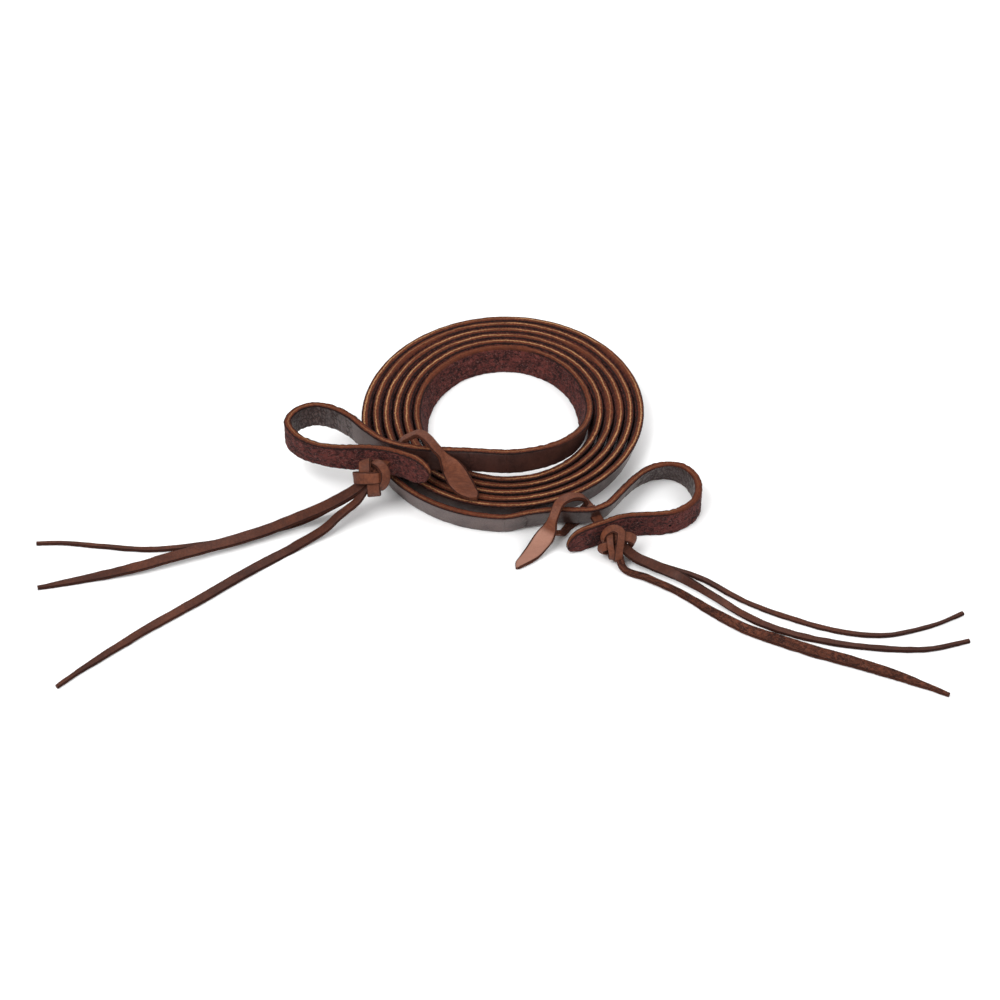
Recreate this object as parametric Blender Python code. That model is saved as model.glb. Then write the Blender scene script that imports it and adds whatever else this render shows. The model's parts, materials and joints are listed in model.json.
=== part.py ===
"""Leather roping reins, wound on edge into a flat coil with a tied bit loop at each end.

One long strap makes the coil and both bit loops. Its ends are folded back, and each fold is
held by a tie: a thong whose pointed tab straddles the strap, whose shank passes through a slot
in the strap and in the fold, and whose three split ends are tied in a button knot.
Units are metres, +Z is up, and the reins lie on z = 0, centred on the origin.
"""
import math

import bmesh
import bpy
import numpy as np
from mathutils import Vector

# Strap
STRAP_WIDTH = 0.0127
STRAP_THICKNESS = 0.0034
STRAP_STEP = 0.0026
TIP_ROUND = 0.0050
TIP_BLUNTNESS = 0.25

# Coil of the strap, standing on its edge and leaning outwards like a funnel
COIL_TURNS = 6
COIL_RIM_RADIUS = 0.0663
COIL_LEAN = math.radians(16.0)
COIL_FRONT_Y = -0.0222
COIL_CENTRE_X = 0.0022
COIL_DRIFT = (0.0005, 0.0032)
DRIFT_TURNS = 0.65
COIL_FLATNESS = 0.0003
LEAD_TURNS = 0.02
TURN_GAP = 0.0009
TURN_STEPS = 60
RISE_TURNS = 0.30
RISE_SWELL = 0.0015
RISE_SHARE = 0.93

# Clearances
TOUCH_GAP = 0.0003
HINGE_GAP = 0.0004
SLOT_CLEARANCE = 0.0004
CUT_PAST = 0.0043

# Ties
SHANK_WIDTH = 0.0050
SHANK_BEHIND = 0.0037
SHANK_PROUD = 0.0007
LEG_WIDTH = 0.0036
LEG_THICKNESS = 0.00196
LEG_END = 0.0012
THONG_THICKNESS = 0.0020
THONG_STEP = 0.0014
SHANK_STEP = 0.0028
TAB_THICKNESS = 0.0022
KNOT_RADIUS = 0.0084
KNOT_STRAND_RADIUS = 0.0016
KNOT_HALF_DEPTH = 0.0052
KNOT_TILT = math.radians(38.0)
KNOT_STEPS = 54
KNOT_SIDES = 8
TAIL_THICKNESS = 0.0018
TAIL_STEP = 0.0060
TAIL_REST = 0.0001
TAB_STEP = 0.0030
ALONG_STRAP = (1.0, 0.0, 0.0)
EMPTY_SIZE = 0.01

# The strap is lifted by the leg of the tie that passes under it
TIE_LIFT = THONG_THICKNESS + 2 * TOUCH_GAP
COIL_PITCH = STRAP_THICKNESS / math.cos(COIL_LEAN) + TURN_GAP
COIL_HEIGHT = STRAP_WIDTH * math.cos(COIL_LEAN)
CROSSING_HEIGHT = COIL_HEIGHT + TOUCH_GAP

LEATHER_STRAP = ("strap_leather", (0.13, 0.060, 0.042), 0.50)
LEATHER_THONG = ("thong_leather", (0.26, 0.120, 0.070), 0.60)


class Side:
    """The hand-chosen routes and places of one end of the reins."""

    def __init__(self, name, base, grain, strap, slots, upper, lower, tab, knot, tails):
        self.name = name
        self.base = base
        self.grain = grain
        self.strap = strap
        self.slots = slots
        self.upper = upper
        self.lower = lower
        self.tab = tab
        self.knot = knot
        self.tails = tails


# strap: x, y, lean in degrees, share of the tie's lift, from the coil to the fold-back's tip
# slots: far and near slot, x and y
# upper, lower: x, y from the strap's face, side of the strap, share of its height, height above that
# tab: x, y from the strap's face, share of the strap's height, height above that, width
# knot: x, y, height above the middle of the strap
# tails: name, then x, y, share of the knot's height, height above that, width
RIGHT = Side(
    name="right",
    base=0.0,
    grain=-1,
    strap=(
        (0.0125, -0.0186, 17.0, 0.4),
        (0.0251, -0.0176, 20.0, 1.0),
        (0.0345, -0.0179, 20.0, 1.0),
        (0.0420, -0.0172, 20.0, 1.0),
        (0.0472, -0.0137, 20.0, 0.7),
        (0.0520, -0.0068, 20.0, 0.3),
        (0.0577, 0.0015, 20.0, 0.0),
        (0.0640, 0.0082, 19.0, 0.0),
        (0.0702, 0.0118, 17.0, 0.0),
        (0.0767, 0.0130, 14.0, 0.0),
        (0.0830, 0.0108, 8.0, 0.0),
        (0.0880, 0.0045, 0.0, 0.0),
        (0.0898, -0.0035, 0.0, 0.0),
        (0.0880, -0.0110, 0.0, 0.0),
        (0.0830, -0.0165, 0.0, 0.0),
        (0.0765, -0.0198, 0.0, 0.0),
        (0.0690, -0.0208, 0.0, 0.0),
        (0.0620, -0.0212, 0.0, 0.0),
        (0.0550, -0.0222, 0.0, 0.0),
        (0.0480, -0.0252, 0.0, 0.0),
        (0.0401, -0.0288, 0.0, 0.0),
        (0.0355, -0.0310, 0.0, 0.0),
        (0.0300, -0.0332, 0.0, 0.0),
    ),
    slots=((0.0422, -0.0171), (0.0472, -0.0255)),
    upper=(
        (0.0208, -0.0232, -1, 0.5, 0.0030),
        (0.0216, -0.0226, -1, 1.0, -0.0012),
        (0.0240, -0.0206, -1, 1.0, 0.0014),
        (0.0285, -0.0190, 0, 1.0, 0.0030),
        (0.0325, -0.0178, 1, 1.0, 0.0030),
        (0.0362, -0.0145, 1, 1.0, 0.0006),
        (0.0385, -0.0135, 1, 0.8, 0.0),
        (0.0396, -0.0142, 1, 0.5, 0.0),
    ),
    lower=(
        (0.0252, -0.0245, -1, 0.5, -0.0030),
        (0.0275, -0.0225, -1, 0.0, 0.0004),
        (0.0310, -0.0180, 0, 0.0, -0.0013),
        (0.0345, -0.0145, 0, 0.0, -0.0013),
        (0.0372, -0.0116, 1, 0.0, 0.0006),
        (0.0388, -0.0118, 1, 0.3, 0.0),
        (0.0397, -0.0136, 1, 0.5, 0.0),
    ),
    tab=(
        (0.0222, -0.0256, 0.5, 0.0006, 0.0070),
        (0.0195, -0.0284, 0.3, 0.0000, 0.0092),
        (0.0162, -0.0320, 0.0, 0.0006, 0.0100),
        (0.0125, -0.0362, 0.0, -0.0012, 0.0088),
        (0.0092, -0.0400, 0.0, -0.0012, 0.0050),
        (0.0076, -0.0420, 0.0, -0.0012, 0.0016),
    ),
    knot=(0.0520, -0.0343, 0.0018),
    tails=(
        ("upper", (
            (0.0600, -0.0372, 0.0, 0.0, 0.0036),
            (0.0665, -0.0398, 0.0, 0.0, 0.0038),
            (0.0734, -0.0425, 0.0, 0.0, 0.0038),
            (0.0872, -0.0485, 0.0, 0.0, 0.0038),
            (0.1075, -0.0634, 0.0, 0.0, 0.0036),
            (0.1282, -0.0740, 0.0, 0.0, 0.0036),
            (0.1485, -0.0813, 0.0, 0.0, 0.0034),
            (0.1674, -0.0833, 0.0, 0.0, 0.0030),
            (0.1802, -0.0804, 0.0, 0.0, 0.0026),
            (0.1911, -0.0764, 0.0, 0.0, 0.0020),
            (0.2026, -0.0703, 0.0, 0.0, 0.0009),
        )),
        ("middle", (
            (0.0600, -0.0404, 0.5, 0.0000, 0.0054),
            (0.0685, -0.0449, 0.4, 0.0000, 0.0056),
            (0.0770, -0.0499, 0.0, 0.0032, 0.0050),
            (0.0850, -0.0556, 0.0, 0.0028, 0.0044),
            (0.0940, -0.0621, 0.0, 0.0018, 0.0044),
            (0.1040, -0.0697, 0.0, 0.0004, 0.0046),
            (0.1174, -0.0782, 0.0, 0.0, 0.0048),
            (0.1325, -0.0843, 0.0, 0.0, 0.0048),
            (0.1478, -0.0883, 0.0, 0.0, 0.0046),
            (0.1687, -0.0911, 0.0, 0.0, 0.0038),
            (0.1842, -0.0914, 0.0, 0.0, 0.0028),
            (0.2034, -0.0865, 0.0, 0.0, 0.0009),
        )),
        ("lower", (
            (0.0545, -0.0436, 0.0, 0.0010, 0.0034),
            (0.0655, -0.0498, 0.0, 0.0004, 0.0034),
            (0.0784, -0.0576, 0.0, 0.0, 0.0036),
            (0.0914, -0.0682, 0.0, 0.0, 0.0042),
            (0.1065, -0.0792, 0.0, 0.0, 0.0054),
            (0.1221, -0.0867, 0.0, 0.0, 0.0060),
            (0.1370, -0.0930, 0.0, 0.0, 0.0062),
            (0.1522, -0.0987, 0.0, 0.0, 0.0060),
            (0.1672, -0.1050, 0.0, 0.0, 0.0052),
            (0.1770, -0.1097, 0.0, 0.0, 0.0040),
            (0.1867, -0.1147, 0.0, 0.0, 0.0022),
            (0.1910, -0.1172, 0.0, 0.0, 0.0009),
        )),
    ),
)
LEFT = Side(
    name="left",
    base=CROSSING_HEIGHT,
    grain=1,
    strap=(
        (-0.0130, 0.0060, 0.0, 0.5),
        (-0.0258, 0.0051, 0.0, 1.0),
        (-0.0370, 0.0062, 0.0, 1.0),
        (-0.0460, 0.0084, 0.0, 1.0),
        (-0.0535, 0.0118, 0.0, 1.0),
        (-0.0608, 0.0182, 0.0, 1.0),
        (-0.0690, 0.0272, 0.0, 1.0),
        (-0.0767, 0.0324, 0.0, 1.0),
        (-0.0851, 0.0345, 0.0, 1.0),
        (-0.0926, 0.0313, 0.0, 1.0),
        (-0.0968, 0.0235, 0.0, 1.0),
        (-0.0928, 0.0151, 0.0, 1.0),
        (-0.0833, 0.0090, -3.0, 1.0),
        (-0.0724, 0.0064, 2.0, 1.0),
        (-0.0612, 0.0060, 7.0, 1.0),
        (-0.0515, 0.0044, 10.0, 1.0),
        (-0.0400, -0.0004, 10.0, 1.0),
        (-0.0315, -0.0066, 8.0, 1.0),
    ),
    slots=((-0.0478, 0.0090), (-0.0510, 0.0042)),
    upper=(
        (-0.0240, 0.0034, -1, 1.0, -0.0026),
        (-0.0250, 0.0034, -1, 1.0, -0.0002),
        (-0.0275, 0.0052, -1, 1.0, 0.0020),
        (-0.0318, 0.0072, 0, 1.0, 0.0034),
        (-0.0363, 0.0104, 1, 1.0, 0.0030),
        (-0.0412, 0.0116, 1, 1.0, -0.0008),
        (-0.0440, 0.0118, 1, 0.75, 0.0),
        (-0.0452, 0.0112, 1, 0.5, 0.0),
    ),
    lower=(
        (-0.0300, 0.0016, -1, 0.6, 0.0),
        (-0.0306, 0.0014, -1, 0.3, 0.0),
        (-0.0320, 0.0024, -1, 0.0, -0.0008),
        (-0.0345, 0.0062, 0, 0.0, -0.0013),
        (-0.0388, 0.0102, 1, 0.0, 0.0002),
        (-0.0430, 0.0120, 1, 0.3, 0.0),
        (-0.0446, 0.0114, 1, 0.5, 0.0),
    ),
    tab=(
        (-0.0240, 0.0024, 0.70, 0.0, 0.0072),
        (-0.0214, 0.0012, 0.48, 0.0, 0.0100),
        (-0.0190, -0.0016, 0.20, 0.0002, 0.0122),
        (-0.0165, -0.0052, 0.0, -0.0004, 0.0120),
        (-0.0140, -0.0090, 0.0, -0.0011, 0.0094),
        (-0.0122, -0.0115, 0.0, -0.0011, 0.0040),
    ),
    knot=(-0.0572, -0.0050, -0.0010),
    tails=(
        ("upper", (
            (-0.0655, -0.0056, 0.42, 0.0, 0.0036),
            (-0.0765, -0.0100, 0.20, 0.0, 0.0036),
            (-0.0900, -0.0152, 0.0, 0.0, 0.0036),
            (-0.1050, -0.0212, 0.0, 0.0, 0.0038),
            (-0.1190, -0.0256, 0.0, 0.0, 0.0038),
            (-0.1366, -0.0295, 0.0, 0.0, 0.0038),
            (-0.1552, -0.0320, 0.0, 0.0, 0.0036),
            (-0.1787, -0.0300, 0.0, 0.0, 0.0030),
            (-0.1968, -0.0280, 0.0, 0.0, 0.0022),
            (-0.2080, -0.0283, 0.0, 0.0, 0.0009),
        )),
        ("middle", (
            (-0.0660, -0.0085, 0.66, 0.0, 0.0060),
            (-0.0765, -0.0132, 0.48, 0.0, 0.0064),
            (-0.0914, -0.0182, 0.28, 0.0, 0.0064),
            (-0.1050, -0.0232, 0.16, 0.0, 0.0064),
            (-0.1176, -0.0284, 0.0, 0.0028, 0.0064),
            (-0.1310, -0.0335, 0.0, 0.0028, 0.0062),
            (-0.1463, -0.0392, 0.0, 0.0026, 0.0060),
            (-0.1600, -0.0440, 0.0, 0.0018, 0.0056),
            (-0.1720, -0.0470, 0.0, 0.0006, 0.0050),
            (-0.1811, -0.0491, 0.0, 0.0, 0.0044),
            (-0.1939, -0.0527, 0.0, 0.0, 0.0030),
            (-0.2042, -0.0554, 0.0, 0.0, 0.0009),
        )),
        ("lower", (
            (-0.0630, -0.0152, 0.56, 0.0, 0.0044),
            (-0.0705, -0.0182, 0.34, 0.0, 0.0048),
            (-0.0790, -0.0228, 0.12, 0.0, 0.0052),
            (-0.0900, -0.0290, 0.0, 0.0002, 0.0056),
            (-0.1143, -0.0475, 0.0, 0.0, 0.0056),
            (-0.1337, -0.0638, 0.0, 0.0, 0.0054),
            (-0.1529, -0.0792, 0.0, 0.0, 0.0048),
            (-0.1716, -0.0957, 0.0, 0.0, 0.0038),
            (-0.1809, -0.1044, 0.0, 0.0, 0.0026),
            (-0.1890, -0.1126, 0.0, 0.0, 0.0009),
        )),
    ),
)


# --- curves and frames -------------------------------------------------------------------


def unit(vectors):
    """The rows of an array, each made one long."""
    return vectors / np.linalg.norm(vectors, axis=-1, keepdims=True)


def smooth_step(share):
    """An S-curve from 0 to 1."""
    share = np.clip(share, 0.0, 1.0)
    return share * share * (3.0 - 2.0 * share)


def smooth_rows(rows, step):
    """Rows along a smooth curve through the given rows, whose first columns are a place."""
    rows = np.asarray(rows, float)
    places = rows[:, :3]
    knots = np.concatenate([[0.0], np.cumsum(np.linalg.norm(np.diff(places, axis=0), axis=1))])
    slopes = np.gradient(rows, knots, axis=0)
    count = max(2, int(round(knots[-1] / step)) + 1)
    along = np.linspace(0.0, knots[-1], count)
    span = np.clip(np.searchsorted(knots, along, side="right") - 1, 0, len(knots) - 2)
    length = knots[span + 1] - knots[span]
    share = ((along - knots[span]) / length)[:, None]
    length = length[:, None]
    square = share * share
    cube = square * share
    return (
        (2 * cube - 3 * square + 1) * rows[span]
        + (cube - 2 * square + share) * length * slopes[span]
        + (3 * square - 2 * cube) * rows[span + 1]
        + (cube - square) * length * slopes[span + 1]
    )


def tangents(points):
    """The direction of travel at each point."""
    return unit(np.gradient(points, axis=0))


def level_left(points):
    """The level direction to the left of the travel at each point."""
    travel = tangents(points)
    return unit(np.stack([-travel[:, 1], travel[:, 0], np.zeros(len(points))], axis=1))


# --- meshes ------------------------------------------------------------------------------


def material(finish):
    """The plain material of a finish, made once."""
    name, colour, roughness = finish
    found = bpy.data.materials.get(name)
    if found:
        return found
    made = bpy.data.materials.new(name)
    made.use_nodes = True
    shader = made.node_tree.nodes["Principled BSDF"]
    shader.inputs["Base Color"].default_value = (*colour, 1.0)
    shader.inputs["Roughness"].default_value = roughness
    shader.inputs["Metallic"].default_value = 0.0
    return made


def swept_faces(count, sides, closed=False):
    """Quads between the rings of a sweep, and its two end caps where it isn't closed."""
    faces = []
    for ring in range(count if closed else count - 1):
        after = (ring + 1) % count
        for side in range(sides):
            turn = (side + 1) % sides
            near, far = ring * sides, after * sides
            faces.append((near + side, near + turn, far + turn, far + side))
    if not closed:
        faces.append(tuple(reversed(range(sides))))
        faces.append(tuple((count - 1) * sides + side for side in range(sides)))
    return faces


def add_object(name, vertices, faces, finish, pivot):
    """A named object from a mesh in world places, with its origin at the pivot."""
    mesh = bpy.data.meshes.new(name)
    mesh.from_pydata([tuple(v) for v in vertices - np.asarray(pivot)], [], faces)
    shape = bmesh.new()
    shape.from_mesh(mesh)
    bmesh.ops.triangulate(shape, faces=shape.faces[:])
    bmesh.ops.recalc_face_normals(shape, faces=shape.faces[:])
    shape.to_mesh(mesh)
    shape.free()
    mesh.materials.append(material(finish))
    made = bpy.data.objects.new(name, mesh)
    bpy.context.scene.collection.objects.link(made)
    made.location = Vector(pivot)
    return made


def section_sweep(points, across, up, half_across, half_up):
    """Vertices of a four-cornered section carried along points."""
    half_across = np.broadcast_to(half_across, len(points))[:, None]
    half_up = np.broadcast_to(half_up, len(points))[:, None]
    corners = [
        points + s * half_across * across + u * half_up * up
        for s, u in ((-1, -1), (1, -1), (1, 1), (-1, 1))
    ]
    return np.stack(corners, axis=1).reshape(-1, 3)


def ribbon(name, rows, width_hint, thickness, step, finish, pivot, square=True):
    """A flat thong through rows of x, y, z and width. Its width lies along the hint, or level.

    A square ribbon has its width turned square to its travel, and another keeps the hint as it is.
    """
    samples = smooth_rows(rows, step)
    points = samples[:, :3]
    points[:, 2] = np.maximum(points[:, 2], min(row[2] for row in rows))
    travel = tangents(points)
    across = level_left(points) if width_hint is None else np.tile(width_hint, (len(points), 1))
    if square:
        across = unit(across - np.sum(across * travel, axis=1, keepdims=True) * travel)
    up = unit(np.cross(travel, across))
    vertices = section_sweep(points, across, up, samples[:, 3] / 2, thickness / 2)
    return add_object(name, vertices, swept_faces(len(points), 4), finish, pivot)


def strap(name, points, grain, lean, narrow, finish, pivot):
    """The strap on its edge: level edges, faces that lean towards the grain side by lean."""
    up = np.cos(lean)[:, None] * np.array([0.0, 0.0, 1.0]) + np.sin(lean)[:, None] * grain
    half_across = STRAP_THICKNESS / 2 / np.cos(lean)
    vertices = section_sweep(points, grain, up, half_across, STRAP_WIDTH / 2 * narrow)
    return add_object(name, vertices, swept_faces(len(points), 4), finish, pivot)


# --- the strap ---------------------------------------------------------------------------


def coil_rows(turns):
    """Centre, outward direction and lean of the coiled strap after so many turns from the front.

    The radius falls by one pitch a turn, a little more at the sides than at the front and back.
    The centre drifts as the outermost turn closes up, and the innermost stretch climbs and
    straightens until it clears the turns that it goes on to cross.
    """
    turns = np.atleast_1d(np.asarray(turns, float))
    rise = smooth_step((turns - (COIL_TURNS - RISE_TURNS)) / (RISE_TURNS * RISE_SHARE))
    angle = -math.pi / 2 - 2 * math.pi * turns
    outward = np.stack([np.cos(angle), np.sin(angle), np.zeros(len(turns))], axis=1)
    radius = COIL_RIM_RADIUS - STRAP_WIDTH / 2 * math.sin(COIL_LEAN) - COIL_PITCH * turns
    radius = radius + RISE_SWELL * rise - COIL_FLATNESS * turns * np.cos(2 * angle)
    lean = COIL_LEAN * (1.0 - rise)
    drift = smooth_step(turns / DRIFT_TURNS)
    centre = np.stack([
        COIL_CENTRE_X + COIL_DRIFT[0] * drift,
        COIL_FRONT_Y + COIL_RIM_RADIUS + COIL_DRIFT[1] * drift,
        STRAP_WIDTH / 2 * np.cos(lean) + CROSSING_HEIGHT * rise,
    ], axis=1)
    return centre + radius[:, None] * outward, outward, lean


def hinge_pivot(turns):
    """A point on the coiled strap's outer face at its outermost edge, where an end bends away."""
    points, outward, lean = coil_rows([turns])
    reach = STRAP_WIDTH / 2 * math.sin(lean[0]) + STRAP_THICKNESS / 2 / math.cos(lean[0])
    return points[0] + outward[0] * (reach + TOUCH_GAP / 2)


def build_coil():
    """The coiled middle of the strap."""
    trim = HINGE_GAP / 2 / (2 * math.pi * COIL_RIM_RADIUS)
    turns = np.linspace(trim, COIL_TURNS - trim, COIL_TURNS * TURN_STEPS + 1)
    points, outward, lean = coil_rows(turns)
    return strap("rein_strap", points, outward, lean, 1.0, LEATHER_STRAP, (0.0, 0.0, 0.0))


def strap_height(side, lean, share):
    """Height of the strap's middle on one side of the reins."""
    return side.base + STRAP_WIDTH / 2 * np.cos(lean) + share * TIE_LIFT


def end_rows(side):
    """Centre, grain side and lean along a strap end, from its hinge to its tip."""
    start_turn = 0.0 if side is RIGHT else float(COIL_TURNS)
    back = LEAD_TURNS if side is RIGHT else -LEAD_TURNS
    lead, outward, lead_lean = coil_rows([start_turn + back, start_turn])
    rows = [(*place[:2], 0.0, tilt, 0.0) for place, tilt in zip(lead, lead_lean)]
    for x, y, degrees, share in side.strap:
        rows.append((x, y, 0.0, math.radians(degrees), share))
    samples = smooth_rows(rows, STRAP_STEP)
    samples[:, 2] = strap_height(side, samples[:, 3], np.clip(samples[:, 4], 0.0, 1.0))
    travelled = (samples[:, :3] - lead[1]) @ tangents(lead)[1]
    first = int(np.argmax(travelled > STRAP_STEP / 2))
    head = np.array([*(lead[1] + tangents(lead)[1] * HINGE_GAP / 2), lead_lean[1], 0.0])
    samples = np.vstack([head, samples[first:]])
    grain = level_left(samples[:, :3]) * side.grain
    grain[0] = outward[1]
    return samples[:, :3], grain, samples[:, 3]


def build_strap_end(side, pivot):
    """A bit loop: the strap's end folded back on itself, with its slots cut."""
    points, grain, lean = end_rows(side)
    left = np.concatenate([np.cumsum(np.linalg.norm(np.diff(points[::-1], axis=0), axis=1))[::-1], [0.0]])
    short = np.clip(1.0 - left / TIP_ROUND, 0.0, 1.0)
    narrow = np.maximum(np.sqrt(1.0 - short * short), TIP_BLUNTNESS)
    made = strap(side.name + "_bit_loop", points, grain, lean, narrow, LEATHER_STRAP, pivot)
    cutter = slot_cutter(side, pivot)
    cut = made.modifiers.new("slots", "BOOLEAN")
    cut.operation = "DIFFERENCE"
    cut.solver = "EXACT"
    cut.object = cutter
    return [made, cutter]


# --- the ties ----------------------------------------------------------------------------


def slot_places(side):
    """The middles of the far and near slots."""
    points, _, _ = end_rows(side)
    places = []
    for x, y in side.slots:
        nearest = np.argmin(np.hypot(points[:, 0] - x, points[:, 1] - y))
        places.append(np.array([x, y, points[nearest, 2]]))
    return places


def slot_cutter(side, pivot):
    """A bar through both slots, as wide and thick as the shank and its clearance."""
    far, near = slot_places(side)
    travel = unit(near - far)
    reach = STRAP_THICKNESS / 2 + CUT_PAST
    ends = np.stack([far - travel * reach, near + travel * reach])
    across = unit(np.cross([0.0, 0.0, 1.0], travel))
    up = np.cross(travel, across)
    vertices = section_sweep(
        ends, across, up, SHANK_WIDTH / 2 + SLOT_CLEARANCE, THONG_THICKNESS / 2 + SLOT_CLEARANCE
    )
    cutter = add_object(side.name + "_slot_cutter", vertices, swept_faces(2, 4), LEATHER_STRAP, pivot)
    cutter.hide_render = True
    cutter.display_type = "WIRE"
    return cutter


def tie_place(side, row):
    """World place of a tie point given from the strap's face and by the strap's height."""
    x, y, face, share, height = row
    bottom = side.base + TIE_LIFT
    return (x, y + face * STRAP_THICKNESS / 2, bottom + share * STRAP_WIDTH + height)


def build_tie(side, pivot):
    """The thong's two legs round the strap and its shank through the slots, in one piece."""
    far, near = slot_places(side)
    travel = unit(near - far)
    behind = far - travel * SHANK_BEHIND
    front = near + travel * (STRAP_THICKNESS / 2 / abs(travel[1]) + SHANK_PROUD)
    shank_rows = [(*place, SHANK_WIDTH) for place in (behind, far, near, front)]
    pieces = [ribbon(side.name + "_tie_thong", shank_rows, ALONG_STRAP, THONG_THICKNESS, SHANK_STEP,
                     LEATHER_THONG, pivot)]
    for leg, route in (("upper", side.upper), ("lower", side.lower)):
        rows = [(*tie_place(side, row), LEG_WIDTH) for row in route]
        rows.append((*(behind + travel * LEG_END), LEG_WIDTH))
        pieces.append(ribbon(side.name + "_" + leg + "_leg", rows, ALONG_STRAP, LEG_THICKNESS,
                             THONG_STEP, LEATHER_THONG, pivot))
    for leg in pieces[1:]:
        leg.hide_render = True
        leg.display_type = "WIRE"
        join = pieces[0].modifiers.new(leg.name, "BOOLEAN")
        join.operation = "UNION"
        join.solver = "EXACT"
        join.object = leg
    return pieces


def tab_rows(side):
    """Rows of the tab's outline: place and width."""
    bottom = side.base + TIE_LIFT
    return [
        (x, y - STRAP_THICKNESS / 2, bottom + share * STRAP_WIDTH + height, width)
        for x, y, share, height, width in side.tab
    ]


def tail_rows(side, route):
    """Rows of a tail: place and width, from the knot to its point."""
    knot_height = knot_centre(side)[2]
    return [
        (x, y, share * knot_height + height + TAIL_THICKNESS / 2 + TAIL_REST, width)
        for x, y, share, height, width in route
    ]


def top_pivot(rows, thickness, across=None):
    """A point just above the upper face at the start of a ribbon, on its hinge's axis."""
    start, after = np.array(rows[0][:3]), np.array(rows[1][:3])
    travel = unit(after - start)
    if across is None:
        across = unit(np.cross([0.0, 0.0, 1.0], travel))
    up = unit(np.cross(travel, across))
    up = up * math.copysign(1.0, up[2])
    return start + up * (thickness / 2 + TOUCH_GAP / 2) - travel * HINGE_GAP / 2


def knot_centre(side):
    """Centre of the button knot."""
    x, y, height = side.knot
    share = 0.0 if side is RIGHT else 1.0
    return np.array([x, y, side.base + share * TIE_LIFT + STRAP_WIDTH / 2 + height])


def build_knot(side, pivot):
    """The button knot: one strand that passes over and under itself in three lobes."""
    turn = np.linspace(0.0, 2 * math.pi, KNOT_STEPS, endpoint=False)
    spread = (KNOT_RADIUS - KNOT_STRAND_RADIUS) / 3.0
    depth = KNOT_HALF_DEPTH - KNOT_STRAND_RADIUS
    level = spread * (np.sin(turn) + 2 * np.sin(2 * turn))
    upright = spread * (np.cos(turn) - 2 * np.cos(2 * turn))
    towards = -depth * np.sin(3 * turn)
    right = np.array([1.0, 0.0, 0.0])
    facing = np.array([0.0, -math.cos(KNOT_TILT), math.sin(KNOT_TILT)])
    top = np.cross(facing, right) * -1.0
    points = (
        knot_centre(side)
        + level[:, None] * right + upright[:, None] * top + towards[:, None] * facing
    )
    travel = unit(np.roll(points, -1, axis=0) - np.roll(points, 1, axis=0))
    out = points - knot_centre(side)
    across = unit(np.cross(travel, out))
    up = np.cross(travel, across)
    ring = np.linspace(0.0, 2 * math.pi, KNOT_SIDES, endpoint=False)
    vertices = np.concatenate([
        (points + KNOT_STRAND_RADIUS * (math.cos(a) * across + math.sin(a) * up))[:, None]
        for a in ring
    ], axis=1).reshape(-1, 3)
    faces = swept_faces(KNOT_STEPS, len(ring), closed=True)
    return add_object(side.name + "_button_knot", vertices, faces, LEATHER_THONG, pivot)


# --- assembly ----------------------------------------------------------------------------


def joint_empty(name, pivot, parent):
    """An empty on a joint's axis, which carries the pieces that turn about it."""
    made = bpy.data.objects.new(name, None)
    made.empty_display_size = EMPTY_SIZE
    bpy.context.scene.collection.objects.link(made)
    made.location = Vector(pivot)
    if parent is not None:
        made.parent = parent
        made.location = Vector(pivot) - parent.location
    return made


def attach(piece, joint):
    """Put a piece whose origin is on a joint's axis under that joint's empty."""
    piece.parent = joint
    piece.location = (0.0, 0.0, 0.0)


def build_side(side, frame):
    """Everything on one end of the reins, under its joints' empties."""
    pivot = hinge_pivot(0.0 if side is RIGHT else float(COIL_TURNS))
    swing = joint_empty(side.name + "_bit_swing", pivot, frame)
    fixed = build_strap_end(side, pivot) + build_tie(side, pivot) + [build_knot(side, pivot)]
    for piece in fixed:
        attach(piece, swing)
    tab = tab_rows(side)
    tab_pivot = top_pivot(tab, TAB_THICKNESS, ALONG_STRAP)
    lift = joint_empty(side.name + "_tab_lift", tab_pivot - pivot, None)
    lift.parent = swing
    attach(ribbon(side.name + "_tie_tab", tab, ALONG_STRAP, TAB_THICKNESS, TAB_STEP, LEATHER_THONG,
                  tab_pivot, square=False), lift)
    for name, route in side.tails:
        rows = tail_rows(side, route)
        tail_pivot = top_pivot(rows, TAIL_THICKNESS)
        bend = joint_empty(side.name + "_" + name + "_tail_bend", tail_pivot - pivot, None)
        bend.parent = swing
        attach(ribbon(side.name + "_" + name + "_tail", rows, None, TAIL_THICKNESS, TAIL_STEP,
                      LEATHER_THONG, tail_pivot), bend)


def centre_on_origin(frame):
    """Move the reins so that the middle of their footprint is at the origin, on z = 0."""
    bpy.context.view_layer.update()
    corners = []
    for piece in bpy.context.scene.objects:
        if piece.type == "MESH" and not piece.hide_render:
            corners += [piece.matrix_world @ vertex.co for vertex in piece.data.vertices]
    places = np.array([tuple(corner) for corner in corners])
    middle = (places.min(axis=0) + places.max(axis=0)) / 2
    frame.location = (-middle[0], -middle[1], -places[:, 2].min())


def main():
    """Clear the scene and build the reins."""
    for old in list(bpy.data.objects):
        bpy.data.objects.remove(old, do_unlink=True)
    frame = joint_empty("reins", (0.0, 0.0, 0.0), None)
    build_coil().parent = frame
    for side in (RIGHT, LEFT):
        build_side(side, frame)
    centre_on_origin(frame)
    bpy.context.view_layer.update()


main()
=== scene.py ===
"""Looks of the leather roping reins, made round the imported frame.

One strap of harness leather is wound on its edge into a coil, and each of its ends is folded
back as a bit loop. A thong of softer leather ties each fold: its leaf-shaped tab straddles the
strap, its shank passes through the strap and the fold, and its three strands are tied in a
button knot and run out as loose tails. All lengths are metres in the frame of the CAD.
"""
import json
import logging
import math
from dataclasses import dataclass, field
from enum import Enum

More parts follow.
